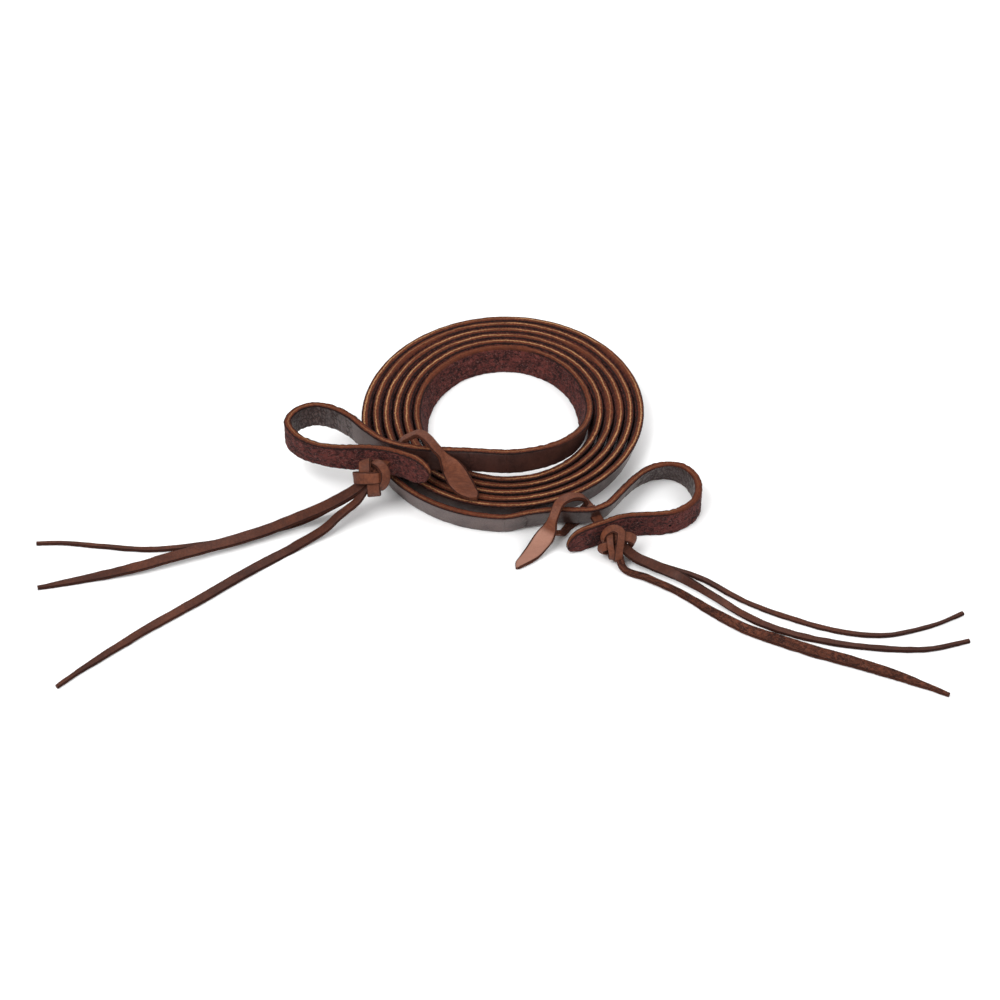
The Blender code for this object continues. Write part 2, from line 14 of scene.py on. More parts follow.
import bpy
import numpy as np
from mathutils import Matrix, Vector


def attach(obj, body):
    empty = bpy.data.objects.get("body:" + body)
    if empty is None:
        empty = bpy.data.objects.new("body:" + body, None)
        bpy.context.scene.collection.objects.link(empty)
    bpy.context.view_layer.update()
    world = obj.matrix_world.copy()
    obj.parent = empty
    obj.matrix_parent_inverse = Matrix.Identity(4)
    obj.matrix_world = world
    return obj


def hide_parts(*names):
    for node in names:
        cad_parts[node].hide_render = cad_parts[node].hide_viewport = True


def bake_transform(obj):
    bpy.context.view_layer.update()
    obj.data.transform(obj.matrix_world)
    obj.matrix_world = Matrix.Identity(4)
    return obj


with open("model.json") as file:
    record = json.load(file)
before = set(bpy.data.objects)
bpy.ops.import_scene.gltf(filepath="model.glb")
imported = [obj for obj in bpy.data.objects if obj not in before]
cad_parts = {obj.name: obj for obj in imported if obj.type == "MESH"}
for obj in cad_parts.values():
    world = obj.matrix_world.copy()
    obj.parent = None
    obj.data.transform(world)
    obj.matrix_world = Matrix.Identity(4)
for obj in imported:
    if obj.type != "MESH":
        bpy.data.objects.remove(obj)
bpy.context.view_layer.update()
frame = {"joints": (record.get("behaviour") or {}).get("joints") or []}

log = logging.getLogger("reins")

Row = tuple[float, ...]
Rows = tuple[Row, ...]


class Hand(Enum):
    """Which end of the reins a piece is on."""

    RIGHT = "right"
    LEFT = "left"


class Surface(Enum):
    """Which surface of a thong is uppermost."""

    GRAIN = 1.0
    FLESH = -1.0


# --- sizes and routes, the same as the CAD's -------------------------------------------------


@dataclass(frozen=True)
class StrapSizes:
    """Section of the strap and of the pieces that cross it."""

    width: float = 0.0127
    thickness: float = 0.0034
    tie_lift: float = 0.0026
    touch_gap: float = 0.0003
    tip_length: float = 0.0100
    edge_radius: float = 0.0009


@dataclass(frozen=True)
class CoilSizes:
    """The spiral that the strap is wound into, standing on its edge and leaning outwards."""

    turns: int = 6
    rim_radius: float = 0.0663
    lean: float = math.radians(16.0)
    front_y: float = -0.0222
    centre_x: float = 0.0022
    drift: tuple[float, float] = (0.0005, 0.0032)
    drift_turns: float = 0.65
    flatness: float = 0.0003
    turn_gap: float = 0.0009
    rise_turns: float = 0.30
    rise_swell: float = 0.0015
    rise_share: float = 0.93
    lead_turns: float = 0.02


STRAP = StrapSizes()
COIL = CoilSizes()
CROSSING_HEIGHT = STRAP.width * math.cos(COIL.lean) + STRAP.touch_gap


@dataclass(frozen=True)
class EndRoutes:
    """Routes of one end of the reins.

    strap holds x, y, lean in degrees and share of the tie's lift. upper and lower hold x, y from
    the strap's face, side of the strap, share of its height and height above that. tab holds x,
    y from the face, share of the height, height above that and width. knot holds x, y and height
    above the strap's middle. tails hold x, y, share of the knot's height, height above that,
    width and roll in degrees. bands hold across, up, outwards and width in millimetres from the
    knot's centre. swing_x holds the world x where the end starts to bend and where it has bent.
    """

    hand: Hand
    base: float
    grain: float
    tip_bias: float
    strap: Rows
    slots: Rows
    upper: Rows
    lower: Rows
    tab: Rows
    knot: Row
    bands: tuple[Rows, ...]
    tails: tuple[tuple[str, Surface, Rows], ...]
    swing_x: tuple[float, float]


RIGHT = EndRoutes(
    hand=Hand.RIGHT,
    base=0.0,
    grain=-1.0,
    tip_bias=-0.45,
    swing_x=(0.0045, 0.0195),
    strap=(
        (0.0125, -0.0186, 17.0, 0.4), (0.0251, -0.0176, 20.0, 1.0), (0.0345, -0.0179, 20.0, 1.0),
        (0.0420, -0.0172, 20.0, 1.0), (0.0472, -0.0137, 20.0, 0.7), (0.0520, -0.0068, 20.0, 0.3),
        (0.0577, 0.0015, 20.0, 0.0), (0.0640, 0.0082, 19.0, 0.0), (0.0702, 0.0118, 17.0, 0.0),
        (0.0767, 0.0130, 14.0, 0.0), (0.0830, 0.0108, 8.0, 0.0), (0.0880, 0.0045, 0.0, 0.0),
        (0.0898, -0.0035, 0.0, 0.0), (0.0880, -0.0110, 0.0, 0.0), (0.0830, -0.0165, 0.0, 0.0),
        (0.0765, -0.0198, 0.0, 0.0), (0.0690, -0.0208, 0.0, 0.0), (0.0620, -0.0212, 0.0, 0.0),
        (0.0550, -0.0222, 0.0, 0.0), (0.0480, -0.0252, 0.0, 0.0), (0.0401, -0.0288, 0.0, 0.0),
        (0.0355, -0.0310, 0.0, 0.0), (0.0300, -0.0332, 0.0, 0.0),
    ),
    slots=((0.0422, -0.0171), (0.0472, -0.0255)),
    upper=(
        (0.0234, -0.0240, -1, 0.80, 0.0006), (0.0246, -0.0216, -1, 1.0, 0.0004),
        (0.0264, -0.0200, 0, 1.0, 0.0024), (0.0298, -0.0182, 1, 1.0, 0.0024),
        (0.0342, -0.0152, 1, 1.0, 0.0006), (0.0376, -0.0138, 1, 0.85, 0.0),
        (0.0396, -0.0142, 1, 0.5, 0.0),
    ),
    lower=(
        (0.0252, -0.0245, -1, 0.5, -0.0030), (0.0275, -0.0225, -1, 0.0, 0.0004),
        (0.0310, -0.0180, 0, 0.0, -0.0013), (0.0345, -0.0145, 0, 0.0, -0.0013),
        (0.0372, -0.0116, 1, 0.0, 0.0006), (0.0388, -0.0118, 1, 0.3, 0.0), (0.0397, -0.0136, 1, 0.5, 0.0),
    ),
    tab=(
        (0.0222, -0.0256, 0.5, 0.0006, 0.0070), (0.0195, -0.0284, 0.3, 0.0000, 0.0092),
        (0.0162, -0.0320, 0.0, 0.0006, 0.0100), (0.0125, -0.0362, 0.0, -0.0012, 0.0088),
        (0.0092, -0.0400, 0.0, -0.0012, 0.0050), (0.0076, -0.0420, 0.0, -0.0012, 0.0016),
    ),
    knot=(0.0520, -0.0343, 0.0018),
    bands=(
        (
            (-2.4, 3.6, -2.6, 3.8), (-2.9, 4.4, 0.4, 3.8), (-2.9, 2.0, 2.8, 3.6), (-2.6, -1.5, 3.9, 3.4),
            (-2.0, -5.0, 3.2, 3.4), (-1.8, -7.0, 0.8, 3.6), (-1.8, -6.0, -2.6, 3.8),
        ),
        (
            (-3.6, -1.6, 0.8, 4.2), (-4.6, -1.4, 2.4, 4.2), (-6.6, -2.4, 1.4, 4.2), (-6.4, -4.2, -0.4, 4.2),
            (-4.0, -5.0, -1.8, 4.2),
        ),
        (
            (-1.2, 2.4, 1.2, 4.6), (2.0, 2.8, 2.6, 4.8), (5.2, 2.6, 2.8, 5.0), (7.2, 1.0, 0.8, 5.0),
            (6.8, -1.0, -1.6, 5.0), (4.0, -2.6, -3.0, 5.0),
        ),
        (
            (-4.4, -1.0, -2.2, 4.0), (-5.6, 1.6, -0.4, 4.0), (-4.4, 4.6, 1.4, 4.0), (-1.2, 6.3, 2.6, 4.0),
            (1.5, 5.0, 4.0, 4.0), (1.5, 1.6, 5.0, 3.8), (0.9, -2.8, 4.9, 3.8), (0.7, -6.2, 3.4, 4.0),
            (0.5, -7.8, 0.2, 4.0), (0.4, -6.2, -3.2, 4.0),
        ),
    ),
    tails=(
        ("upper", Surface.GRAIN, (
            (0.0600, -0.0372, 0.0, 0.0, 0.0023, 0), (0.0665, -0.0398, 0.0, 0.0, 0.0024, 0),
            (0.0734, -0.0425, 0.0, 0.0, 0.0024, 0), (0.0872, -0.0485, 0.0, 0.0, 0.0024, 0),
            (0.1075, -0.0634, 0.0, 0.0, 0.0023, 8), (0.1282, -0.0740, 0.0, 0.0, 0.0023, 10),
            (0.1485, -0.0813, 0.0, 0.0, 0.0022, 4), (0.1674, -0.0833, 0.0, 0.0, 0.0019, 0),
            (0.1802, -0.0804, 0.0, 0.0, 0.0017, 0), (0.1911, -0.0764, 0.0, 0.0, 0.0016, 0),
            (0.2026, -0.0703, 0.0, 0.0, 0.0016, 0),
        )),
        ("middle", Surface.GRAIN, (
            (0.0600, -0.0404, 0.5, 0.0000, 0.0054, 0), (0.0685, -0.0449, 0.4, 0.0000, 0.0056, 10),
            (0.0770, -0.0499, 0.0, 0.0032, 0.0048, 30), (0.0850, -0.0556, 0.0, 0.0028, 0.0038, 58),
            (0.0940, -0.0621, 0.0, 0.0018, 0.0034, 46), (0.1040, -0.0697, 0.0, 0.0004, 0.0033, 20),
            (0.1174, -0.0782, 0.0, 0.0, 0.0033, 0), (0.1325, -0.0843, 0.0, 0.0, 0.0032, 0),
            (0.1478, -0.0883, 0.0, 0.0, 0.0030, 0), (0.1687, -0.0911, 0.0, 0.0, 0.0027, 0),
            (0.1842, -0.0914, 0.0, 0.0, 0.0023, 0), (0.2034, -0.0865, 0.0, 0.0, 0.0017, 0),
        )),
        ("lower", Surface.FLESH, (
            (0.0545, -0.0436, 0.0, 0.0010, 0.0034, 0), (0.0655, -0.0498, 0.0, 0.0004, 0.0034, 0),
            (0.0784, -0.0576, 0.0, 0.0, 0.0036, 0), (0.0914, -0.0682, 0.0, 0.0, 0.0042, 6),
            (0.1065, -0.0792, 0.0, 0.0, 0.0054, 0), (0.1221, -0.0867, 0.0, 0.0, 0.0060, 0),
            (0.1370, -0.0930, 0.0, 0.0, 0.0062, 0), (0.1522, -0.0987, 0.0, 0.0, 0.0060, 0),
            (0.1672, -0.1050, 0.0, 0.0, 0.0052, 0), (0.1770, -0.1097, 0.0, 0.0, 0.0040, 0),
            (0.1867, -0.1147, 0.0, 0.0, 0.0022, 0), (0.1910, -0.1172, 0.0, 0.0, 0.0017, 0),
        )),
    ),
)
LEFT = EndRoutes(
    hand=Hand.LEFT,
    base=CROSSING_HEIGHT,
    grain=1.0,
    tip_bias=0.25,
    swing_x=(0.0045, -0.0195),
    strap=(
        (-0.0130, 0.0060, 0.0, 0.5), (-0.0258, 0.0051, 0.0, 1.0), (-0.0370, 0.0062, 0.0, 1.0),
        (-0.0460, 0.0084, 0.0, 1.0), (-0.0535, 0.0118, 0.0, 1.0), (-0.0608, 0.0182, 0.0, 1.0),
        (-0.0690, 0.0272, 0.0, 1.0), (-0.0767, 0.0324, 0.0, 1.0), (-0.0851, 0.0345, 0.0, 1.0),
        (-0.0926, 0.0313, 0.0, 1.0), (-0.0968, 0.0235, 0.0, 1.0), (-0.0928, 0.0151, 0.0, 1.0),
        (-0.0833, 0.0090, -3.0, 1.0), (-0.0724, 0.0064, 2.0, 1.0), (-0.0612, 0.0060, 7.0, 1.0),
        (-0.0515, 0.0044, 10.0, 1.0), (-0.0400, -0.0004, 10.0, 1.0), (-0.0315, -0.0066, 8.0, 1.0),
    ),
    slots=((-0.0478, 0.0090), (-0.0510, 0.0042)),
    upper=(
        (-0.0262, 0.0036, -1, 1.0, -0.0010), (-0.0286, 0.0050, -1, 1.0, 0.0018),
        (-0.0322, 0.0076, 0, 1.0, 0.0032), (-0.0366, 0.0104, 1, 1.0, 0.0026),
        (-0.0412, 0.0116, 1, 1.0, -0.0008), (-0.0440, 0.0118, 1, 0.75, 0.0),
        (-0.0452, 0.0112, 1, 0.5, 0.0),
    ),
    lower=(
        (-0.0340, 0.0020, -1, 0.6, 0.0), (-0.0344, 0.0018, -1, 0.3, 0.0),
        (-0.0350, 0.0028, -1, 0.0, -0.0008), (-0.0364, 0.0064, 0, 0.0, -0.0013),
        (-0.0388, 0.0102, 1, 0.0, 0.0002), (-0.0430, 0.0120, 1, 0.3, 0.0), (-0.0446, 0.0114, 1, 0.5, 0.0),
    ),
    tab=(
        (-0.0240, 0.0024, 0.70, 0.0, 0.0072), (-0.0214, 0.0012, 0.48, 0.0, 0.0100),
        (-0.0190, -0.0016, 0.20, 0.0002, 0.0122), (-0.0165, -0.0052, 0.0, -0.0004, 0.0120),
        (-0.0140, -0.0090, 0.0, -0.0011, 0.0094), (-0.0122, -0.0115, 0.0, -0.0011, 0.0040),
    ),
    knot=(-0.0572, -0.0050, -0.0010),
    bands=(
        (
            (-2.0, 3.6, -3.2, 5.6), (-3.0, 6.4, -1.2, 5.8), (-3.4, 6.2, 1.6, 5.8), (-3.3, 3.6, 3.2, 5.8),
            (-3.2, 0.4, 3.4, 5.6),
        ),
        (
            (0.2, -1.2, 2.6, 5.8), (0.3, -4.2, 3.2, 6.0), (0.5, -7.0, 2.2, 6.2), (0.6, -8.4, 0.0, 6.2),
            (0.4, -6.6, -2.6, 6.0),
        ),
        (
            (-0.6, 5.2, -2.2, 4.8), (1.4, 6.0, 0.6, 4.8), (4.0, 4.6, 2.6, 5.0), (5.6, 1.4, 3.4, 5.0),
            (5.4, -1.8, 3.0, 5.0), (3.8, -4.6, 1.4, 5.0), (1.2, -5.8, -1.2, 5.0),
        ),
        (
            (3.6, -0.2, 2.4, 5.2), (1.6, -0.3, 4.4, 5.4), (-2.6, -0.4, 5.0, 5.6), (-6.2, -0.5, 3.6, 5.6),
            (-7.9, -0.6, 0.6, 5.6), (-6.4, -0.8, -2.4, 5.4),
        ),
    ),
    tails=(
        ("upper", Surface.GRAIN, (
            (-0.0655, -0.0056, 0.42, 0.0, 0.0024, 0), (-0.0765, -0.0100, 0.20, 0.0, 0.0024, 0),
            (-0.0900, -0.0152, 0.0, 0.0, 0.0024, 0), (-0.1050, -0.0212, 0.0, 0.0, 0.0025, 0),
            (-0.1190, -0.0256, 0.0, 0.0, 0.0025, 0), (-0.1366, -0.0295, 0.0, 0.0, 0.0025, 0),
            (-0.1552, -0.0320, 0.0, 0.0, 0.0024, 0), (-0.1787, -0.0300, 0.0, 0.0, 0.0020, 0),
            (-0.1968, -0.0280, 0.0, 0.0, 0.0016, 0), (-0.2080, -0.0283, 0.0, 0.0, 0.0016, 0),
        )),
        ("middle", Surface.GRAIN, (
            (-0.0660, -0.0085, 0.66, 0.0, 0.0060, 0), (-0.0765, -0.0132, 0.48, 0.0, 0.0064, 0),
            (-0.0914, -0.0182, 0.28, 0.0, 0.0064, 0), (-0.1050, -0.0232, 0.16, 0.0, 0.0064, 0),
            (-0.1176, -0.0284, 0.0, 0.0028, 0.0064, 0), (-0.1310, -0.0335, 0.0, 0.0028, 0.0062, 0),
            (-0.1463, -0.0392, 0.0, 0.0026, 0.0060, 0), (-0.1600, -0.0440, 0.0, 0.0018, 0.0056, 0),
            (-0.1720, -0.0470, 0.0, 0.0006, 0.0050, 0), (-0.1811, -0.0491, 0.0, 0.0, 0.0044, 0),
            (-0.1939, -0.0527, 0.0, 0.0, 0.0030, 0), (-0.2042, -0.0554, 0.0, 0.0, 0.0017, 0),
        )),
        ("lower", Surface.GRAIN, (
            (-0.0640, -0.0126, 0.56, 0.0, 0.0040, 0), (-0.0710, -0.0164, 0.36, 0.0, 0.0043, 0),
            (-0.0792, -0.0222, 0.14, 0.0, 0.0047, 0), (-0.0900, -0.0290, 0.0, 0.0002, 0.0050, 0),
            (-0.1143, -0.0475, 0.0, 0.0, 0.0050, 0), (-0.1337, -0.0638, 0.0, 0.0, 0.0049, 0),
            (-0.1529, -0.0792, 0.0, 0.0, 0.0043, 0), (-0.1716, -0.0957, 0.0, 0.0, 0.0034, 0),
            (-0.1809, -0.1044, 0.0, 0.0, 0.0023, 0), (-0.1890, -0.1126, 0.0, 0.0, 0.0017, 0),
        )),
    ),
)


# --- curves ------------------------------------------------------------------------------------


def unit(vectors: np.ndarray) -> np.ndarray:
    """The rows of an array, each divided by its length."""
    return vectors / np.linalg.norm(vectors, axis=-1, keepdims=True)


def smooth_step(share: np.ndarray) -> np.ndarray:
    """An S-curve from 0 to 1: three times the square less twice the cube."""
    share = np.clip(share, 0.0, 1.0)
    return share * share * (3.0 - 2.0 * share)


def smooth_rows(rows: np.ndarray | list, step: float) -> np.ndarray:
    """Rows along a smooth curve through the given ones.

    The curve is a cubic through each pair of rows, with the slopes of the rows on either side,
    over the length of the straight lines between their first three columns.

    Args:
        rows: The rows, whose first three columns are a place.
        step: About how far apart the new rows are.

    Returns:
        The new rows.
    """
    rows = np.asarray(rows, float)
    knots = np.concatenate([[0.0], np.cumsum(np.linalg.norm(np.diff(rows[:, :3], axis=0), axis=1))])
    slopes = np.gradient(rows, knots, axis=0)
    along = np.linspace(0.0, knots[-1], max(2, int(round(knots[-1] / step)) + 1))
    span = np.clip(np.searchsorted(knots, along, side="right") - 1, 0, len(knots) - 2)
    length = knots[span + 1] - knots[span]
    share = ((along - knots[span]) / length)[:, None]
    length = length[:, None]
    square, cube = share**2, share**3
    return (
        (2 * cube - 3 * square + 1) * rows[span]
        + (cube - 2 * square + share) * length * slopes[span]
        + (3 * square - 2 * cube) * rows[span + 1]
        + (cube - square) * length * slopes[span + 1]
    )


def tangents(points: np.ndarray) -> np.ndarray:
    """The direction of travel at each point: the difference of its neighbours, one long."""
    return unit(np.gradient(points, axis=0))


def level_left(points: np.ndarray) -> np.ndarray:
    """The level direction to the left of the travel at each point."""
    travel = tangents(points)
    return unit(np.stack([-travel[:, 1], travel[:, 0], np.zeros(len(points))], axis=1))


def travelled(points: np.ndarray) -> np.ndarray:
    """How far along the line each point is."""
    return np.concatenate([[0.0], np.cumsum(np.linalg.norm(np.diff(points, axis=0), axis=1))])


def value_noise(places: np.ndarray, seed: int) -> np.ndarray:
    """Smooth noise from -1 to 1 at each place.

    Each corner of a cube lattice of side one has a value hashed from its whole numbers and the
    seed, and a place takes its cube's eight values in the shares of an S-curve on each axis.

    Args:
        places: Places, in lattice cells.
        seed: Another pattern for each seed.

    Returns:
        One value for each place.
    """
    cell = np.floor(places).astype(np.int64)
    share = smooth_step(places - cell)
    total = np.zeros(places.shape[:-1])
    for corner in range(8):
        bit = np.array([corner & 1, corner >> 1 & 1, corner >> 2 & 1])
        at = cell + bit
        mixed = at[..., 0] * 73856093 ^ at[..., 1] * 19349663 ^ at[..., 2] * 83492791 ^ seed * 2654435761
        mixed = (mixed ^ mixed >> 13) * 1274126177 & 0xFFFFFFFF
        value = (mixed ^ mixed >> 16) / 0x80000000 - 1.0
        total += value * np.prod(np.where(bit, share, 1.0 - share), axis=-1)
    return total


def coil_centre(turns: np.ndarray) -> tuple[np.ndarray, np.ndarray, np.ndarray]:
    """The strap's middle after so many turns from the front, as in the CAD.

    The angle falls by a full turn a turn and the radius by one pitch, a little more at the
    sides. The centre drifts as the outermost turn closes, and the innermost stretch climbs and
    stands upright.

    Args:
        turns: Turns from the front.

    Returns:
        The places, the outward directions and the leans.
    """
    turns = np.atleast_1d(np.asarray(turns, float))
    rise = smooth_step((turns - (COIL.turns - COIL.rise_turns)) / (COIL.rise_turns * COIL.rise_share))
    angle = -math.pi / 2 - 2 * math.pi * turns
    outward = np.stack([np.cos(angle), np.sin(angle), np.zeros(len(turns))], axis=1)
    pitch = STRAP.thickness / math.cos(COIL.lean) + COIL.turn_gap
    radius = COIL.rim_radius - STRAP.width / 2 * math.sin(COIL.lean) - pitch * turns
    radius = radius + COIL.rise_swell * rise - COIL.flatness * turns * np.cos(2 * angle)
    lean = COIL.lean * (1.0 - rise)
    drift = smooth_step(turns / COIL.drift_turns)
    centre = np.stack([
        COIL.centre_x + COIL.drift[0] * drift,
        COIL.front_y + COIL.rim_radius + COIL.drift[1] * drift,
        STRAP.width / 2 * np.cos(lean) + CROSSING_HEIGHT * rise,
    ], axis=1)
    return centre + radius[:, None] * outward, outward, lean


def frame_shift() -> np.ndarray:
    """How far the CAD moved the routes to centre the reins: the right bend's place less its route's."""
    points, outward, lean = coil_centre(np.array([0.0]))
    reach = STRAP.width / 2 * math.sin(lean[0]) + STRAP.thickness / 2 / math.cos(lean[0])
    hinge = points[0] + outward[0] * (reach + STRAP.touch_gap / 2)
    place = next(joint["pos_m"] for joint in frame["joints"] if joint["name"] == "right_bit_swing")
    return np.array(place) - hinge


SHIFT = frame_shift()


# --- meshes ------------------------------------------------------------------------------------


@dataclass
class Shell:
    """One closed skin: rings of points, and the marks that the finishes read."""

    rings: np.ndarray
    along: np.ndarray
    around: np.ndarray
    marks: dict[str, np.ndarray] = field(default_factory=dict)


def build_mesh(name: str, shells: list[Shell], finish: bpy.types.Material) -> bpy.types.Object:
    """A smooth closed mesh of one or more skins.

    Quads join each ring to the next and a flat face closes each end. The map's U is the length
    along a skin and V the length around it.

    Args:
        name: The piece's name.
        shells: Its skins.
        finish: Its material.

    Returns:
        The new object, at the origin.
    """
    points, faces, uvs = [], [], []
    marks: dict[str, list[np.ndarray]] = {key: [] for key in shells[0].marks}
    first = 0
    for shell in shells:
        count, sides = shell.rings.shape[:2]
        points.append(shell.rings.reshape(-1, 3))
        for key, value in shell.marks.items():
            marks[key].append(np.broadcast_to(value, (count, sides)).reshape(-1))
        ring, side = np.meshgrid(np.arange(count - 1), np.arange(sides), indexing="ij")
        turn = (side + 1) % sides
        quads = np.stack([
            ring * sides + side, ring * sides + turn, (ring + 1) * sides + turn, (ring + 1) * sides + side,
        ], axis=-1).reshape(-1, 4)
        around = np.concatenate([shell.around, [shell.around[-1] * sides / (sides - 1)]])
        quad_uv = np.stack([
            np.stack([shell.along[ring + a], around[side + b]], axis=-1)
            for a, b in ((0, 0), (0, 1), (1, 1), (1, 0))
        ], axis=-2).reshape(-1, 4, 2)
        corner = shell.rings[quads[:, 0] // sides, quads[:, 0] % sides]
        second = shell.rings[quads[:, 1] // sides, quads[:, 1] % sides]
        third = shell.rings[quads[:, 2] // sides, quads[:, 2] % sides]
        inside_out = np.sum(corner * np.cross(second - corner, third - corner)) < 0
        low = np.arange(sides)
        high = low + (count - 1) * sides
        caps = [low[::-1], high]
        cap_uv = [np.stack([np.full(sides, shell.along[row]), shell.around], axis=1) for row in (0, -1)]
        cap_uv[0] = cap_uv[0][::-1]
        if inside_out:
            quads, quad_uv = quads[:, ::-1], quad_uv[:, ::-1]
            caps, cap_uv = [cap[::-1] for cap in caps], [uv[::-1] for uv in cap_uv]
        faces += (quads + first).tolist() + [(cap + first).tolist() for cap in caps]
        uvs += [quad_uv.reshape(-1, 2), *cap_uv]
        first += count * sides
    mesh = bpy.data.meshes.new(name)
    mesh.from_pydata(np.concatenate(points).tolist(), [], faces)
    layer = mesh.uv_layers.new(name="surface")
    layer.data.foreach_set("uv", np.concatenate(uvs).astype(np.float32).reshape(-1))
    for key, values in marks.items():
        attribute = mesh.attributes.new(key, "FLOAT", "POINT")
        attribute.data.foreach_set("value", np.concatenate(values).astype(np.float32))
    mesh.polygons.foreach_set("use_smooth", np.array([len(face) == 4 for face in faces]))
    mesh.materials.append(finish)
    mesh.update()
    made = bpy.data.objects.new(name, mesh)
    bpy.context.scene.collection.objects.link(made)
    return made


def rounded_bar(sides: int, ends: int, end_share: float, power: float) -> tuple[np.ndarray, np.ndarray]:
    """The outline of a bar with rounded ends, from -1 to 1 on both axes.

    The long sides are straight. Each end is part of a superellipse: the cosine and the sine of
    an angle, each raised to a power.

    Args:
        sides: Points along each long side.
        ends: Points round each end.
        end_share: The share of the half length that the rounding takes.
        power: Below 1 for a squarer end.

    Returns:
        The outline's points, as thin and long shares, and its outward directions.
    """
    straight = np.linspace(-1.0, 1.0, sides) * (1.0 - end_share)
    angle = np.linspace(0.0, math.pi, ends + 2)[1:-1]
    thin = np.sign(np.cos(angle)) * np.abs(np.cos(angle)) ** power
    long = 1.0 - end_share + end_share * np.sin(angle) ** power
    outline = np.concatenate([
        np.stack([np.ones(sides), straight], axis=1),
        np.stack([thin, long], axis=1),
        np.stack([-np.ones(sides), -straight], axis=1),
        np.stack([-thin, -long], axis=1),
    ])
    past = np.clip(np.abs(outline[:, 1]) - 1 + end_share, 0, 1) / end_share
    facing = unit(np.stack([outline[:, 0] ** 3, np.sign(outline[:, 1]) * past], axis=1) + 1e-9)
    return outline, facing


# --- finishes ----------------------------------------------------------------------------------


Colour = tuple[float, float, float]


class Tree:
    """A node tree, with short ways to add nodes and join them."""

    def __init__(self, tree: bpy.types.NodeTree) -> None:
        """Wrap a node tree."""
        self.tree = tree

    def node(self, kind: str, **settings: object) -> bpy.types.Node:
        """Add a node of a kind, with its settings."""
        made = self.tree.nodes.new(kind)
        for key, value in settings.items():
            setattr(made, key, value)
        return made

    def join(self, value: object, socket: bpy.types.NodeSocket) -> None:
        """Link an output to a socket, or set the socket to a plain value."""
        if isinstance(value, bpy.types.NodeSocket):
            self.tree.links.new(value, socket)
        elif isinstance(value, tuple) and socket.type == "RGBA":
            socket.default_value = (*value, 1.0)
        else:
            socket.default_value = value

    def maths(self, kind: str, *values: object, clamp: bool = False) -> bpy.types.NodeSocket:
        """A Math node's output."""
        made = self.node("ShaderNodeMath", operation=kind, use_clamp=clamp)
        for value, socket in zip(values, made.inputs):
            self.join(value, socket)
        return made.outputs[0]

    def times(self, first: object, second: object) -> bpy.types.NodeSocket:
        """The first value times the second."""
        return self.maths("MULTIPLY", first, second)

    def plus(self, first: object, second: object) -> bpy.types.NodeSocket:
        """The first value and the second together."""
        return self.maths("ADD", first, second)

    def minus(self, first: object, second: object) -> bpy.types.NodeSocket:
        """The first value less the second."""
        return self.maths("SUBTRACT", first, second)

    def band(self, value: object, low: float, high: float, start: float = 0.0, end: float = 1.0
             ) -> bpy.types.NodeSocket:
        """A value carried smoothly from start at low to end at high."""
        made = self.node("ShaderNodeMapRange", interpolation_type="SMOOTHSTEP")
        for given, socket in zip((value, low, high, start, end), made.inputs):
            self.join(given, socket)
        return made.outputs[0]

    def mix(self, share: object, first: object, second: object, kind: str = "MIX") -> bpy.types.NodeSocket:
        """A Mix Color node's output."""
        made = self.node("ShaderNodeMix", data_type="RGBA", blend_type=kind)
        self.join(share, made.inputs[0])
        self.join(first, made.inputs[6])
        self.join(second, made.inputs[7])
        return made.outputs[2]

    def noise(self, vector: object, scale: float, detail: float = 3.0, rough: float = 0.55,
              warp: float = 0.0) -> bpy.types.NodeSocket:
        """A Noise Texture's value."""
        made = self.node("ShaderNodeTexNoise")
        self.join(vector, made.inputs["Vector"])
        for key, value in zip(("Scale", "Detail", "Roughness", "Distortion"), (scale, detail, rough, warp)):
            made.inputs[key].default_value = value
        return made.outputs["Fac"]

    def stretch(self, vector: object, factors: Colour) -> bpy.types.NodeSocket:
        """A vector multiplied axis by axis."""
        made = self.node("ShaderNodeVectorMath", operation="MULTIPLY")
        self.join(vector, made.inputs[0])
        made.inputs[1].default_value = factors
        return made.outputs[0]

    def mark(self, name: str) -> bpy.types.NodeSocket:
        """A mesh attribute's value."""
        return self.node("ShaderNodeAttribute", attribute_name=name).outputs["Fac"]


Effect = tuple[bpy.types.NodeTree, Tree, bpy.types.Node, bpy.types.Node]


def effect(name: str, inputs: tuple[str, ...], outputs: tuple[str, ...]) -> Effect:
    """A new node group that takes a surface place and single values, and gives single values.

    Args:
        name: The group's name.
        inputs: Names of the values that it takes besides the place.
        outputs: Names of the values that it gives.

    Returns:
        The group, its tree, and its input and output nodes.
    """
    group = bpy.data.node_groups.new(name, "ShaderNodeTree")
    group.interface.new_socket("Surface", in_out="INPUT", socket_type="NodeSocketVector")
    for way, names in (("INPUT", inputs), ("OUTPUT", outputs)):
        for key in names:
            group.interface.new_socket(key, in_out=way, socket_type="NodeSocketFloat")
    tree = Tree(group)
    return group, tree, tree.node("NodeGroupInput"), tree.node("NodeGroupOutput")


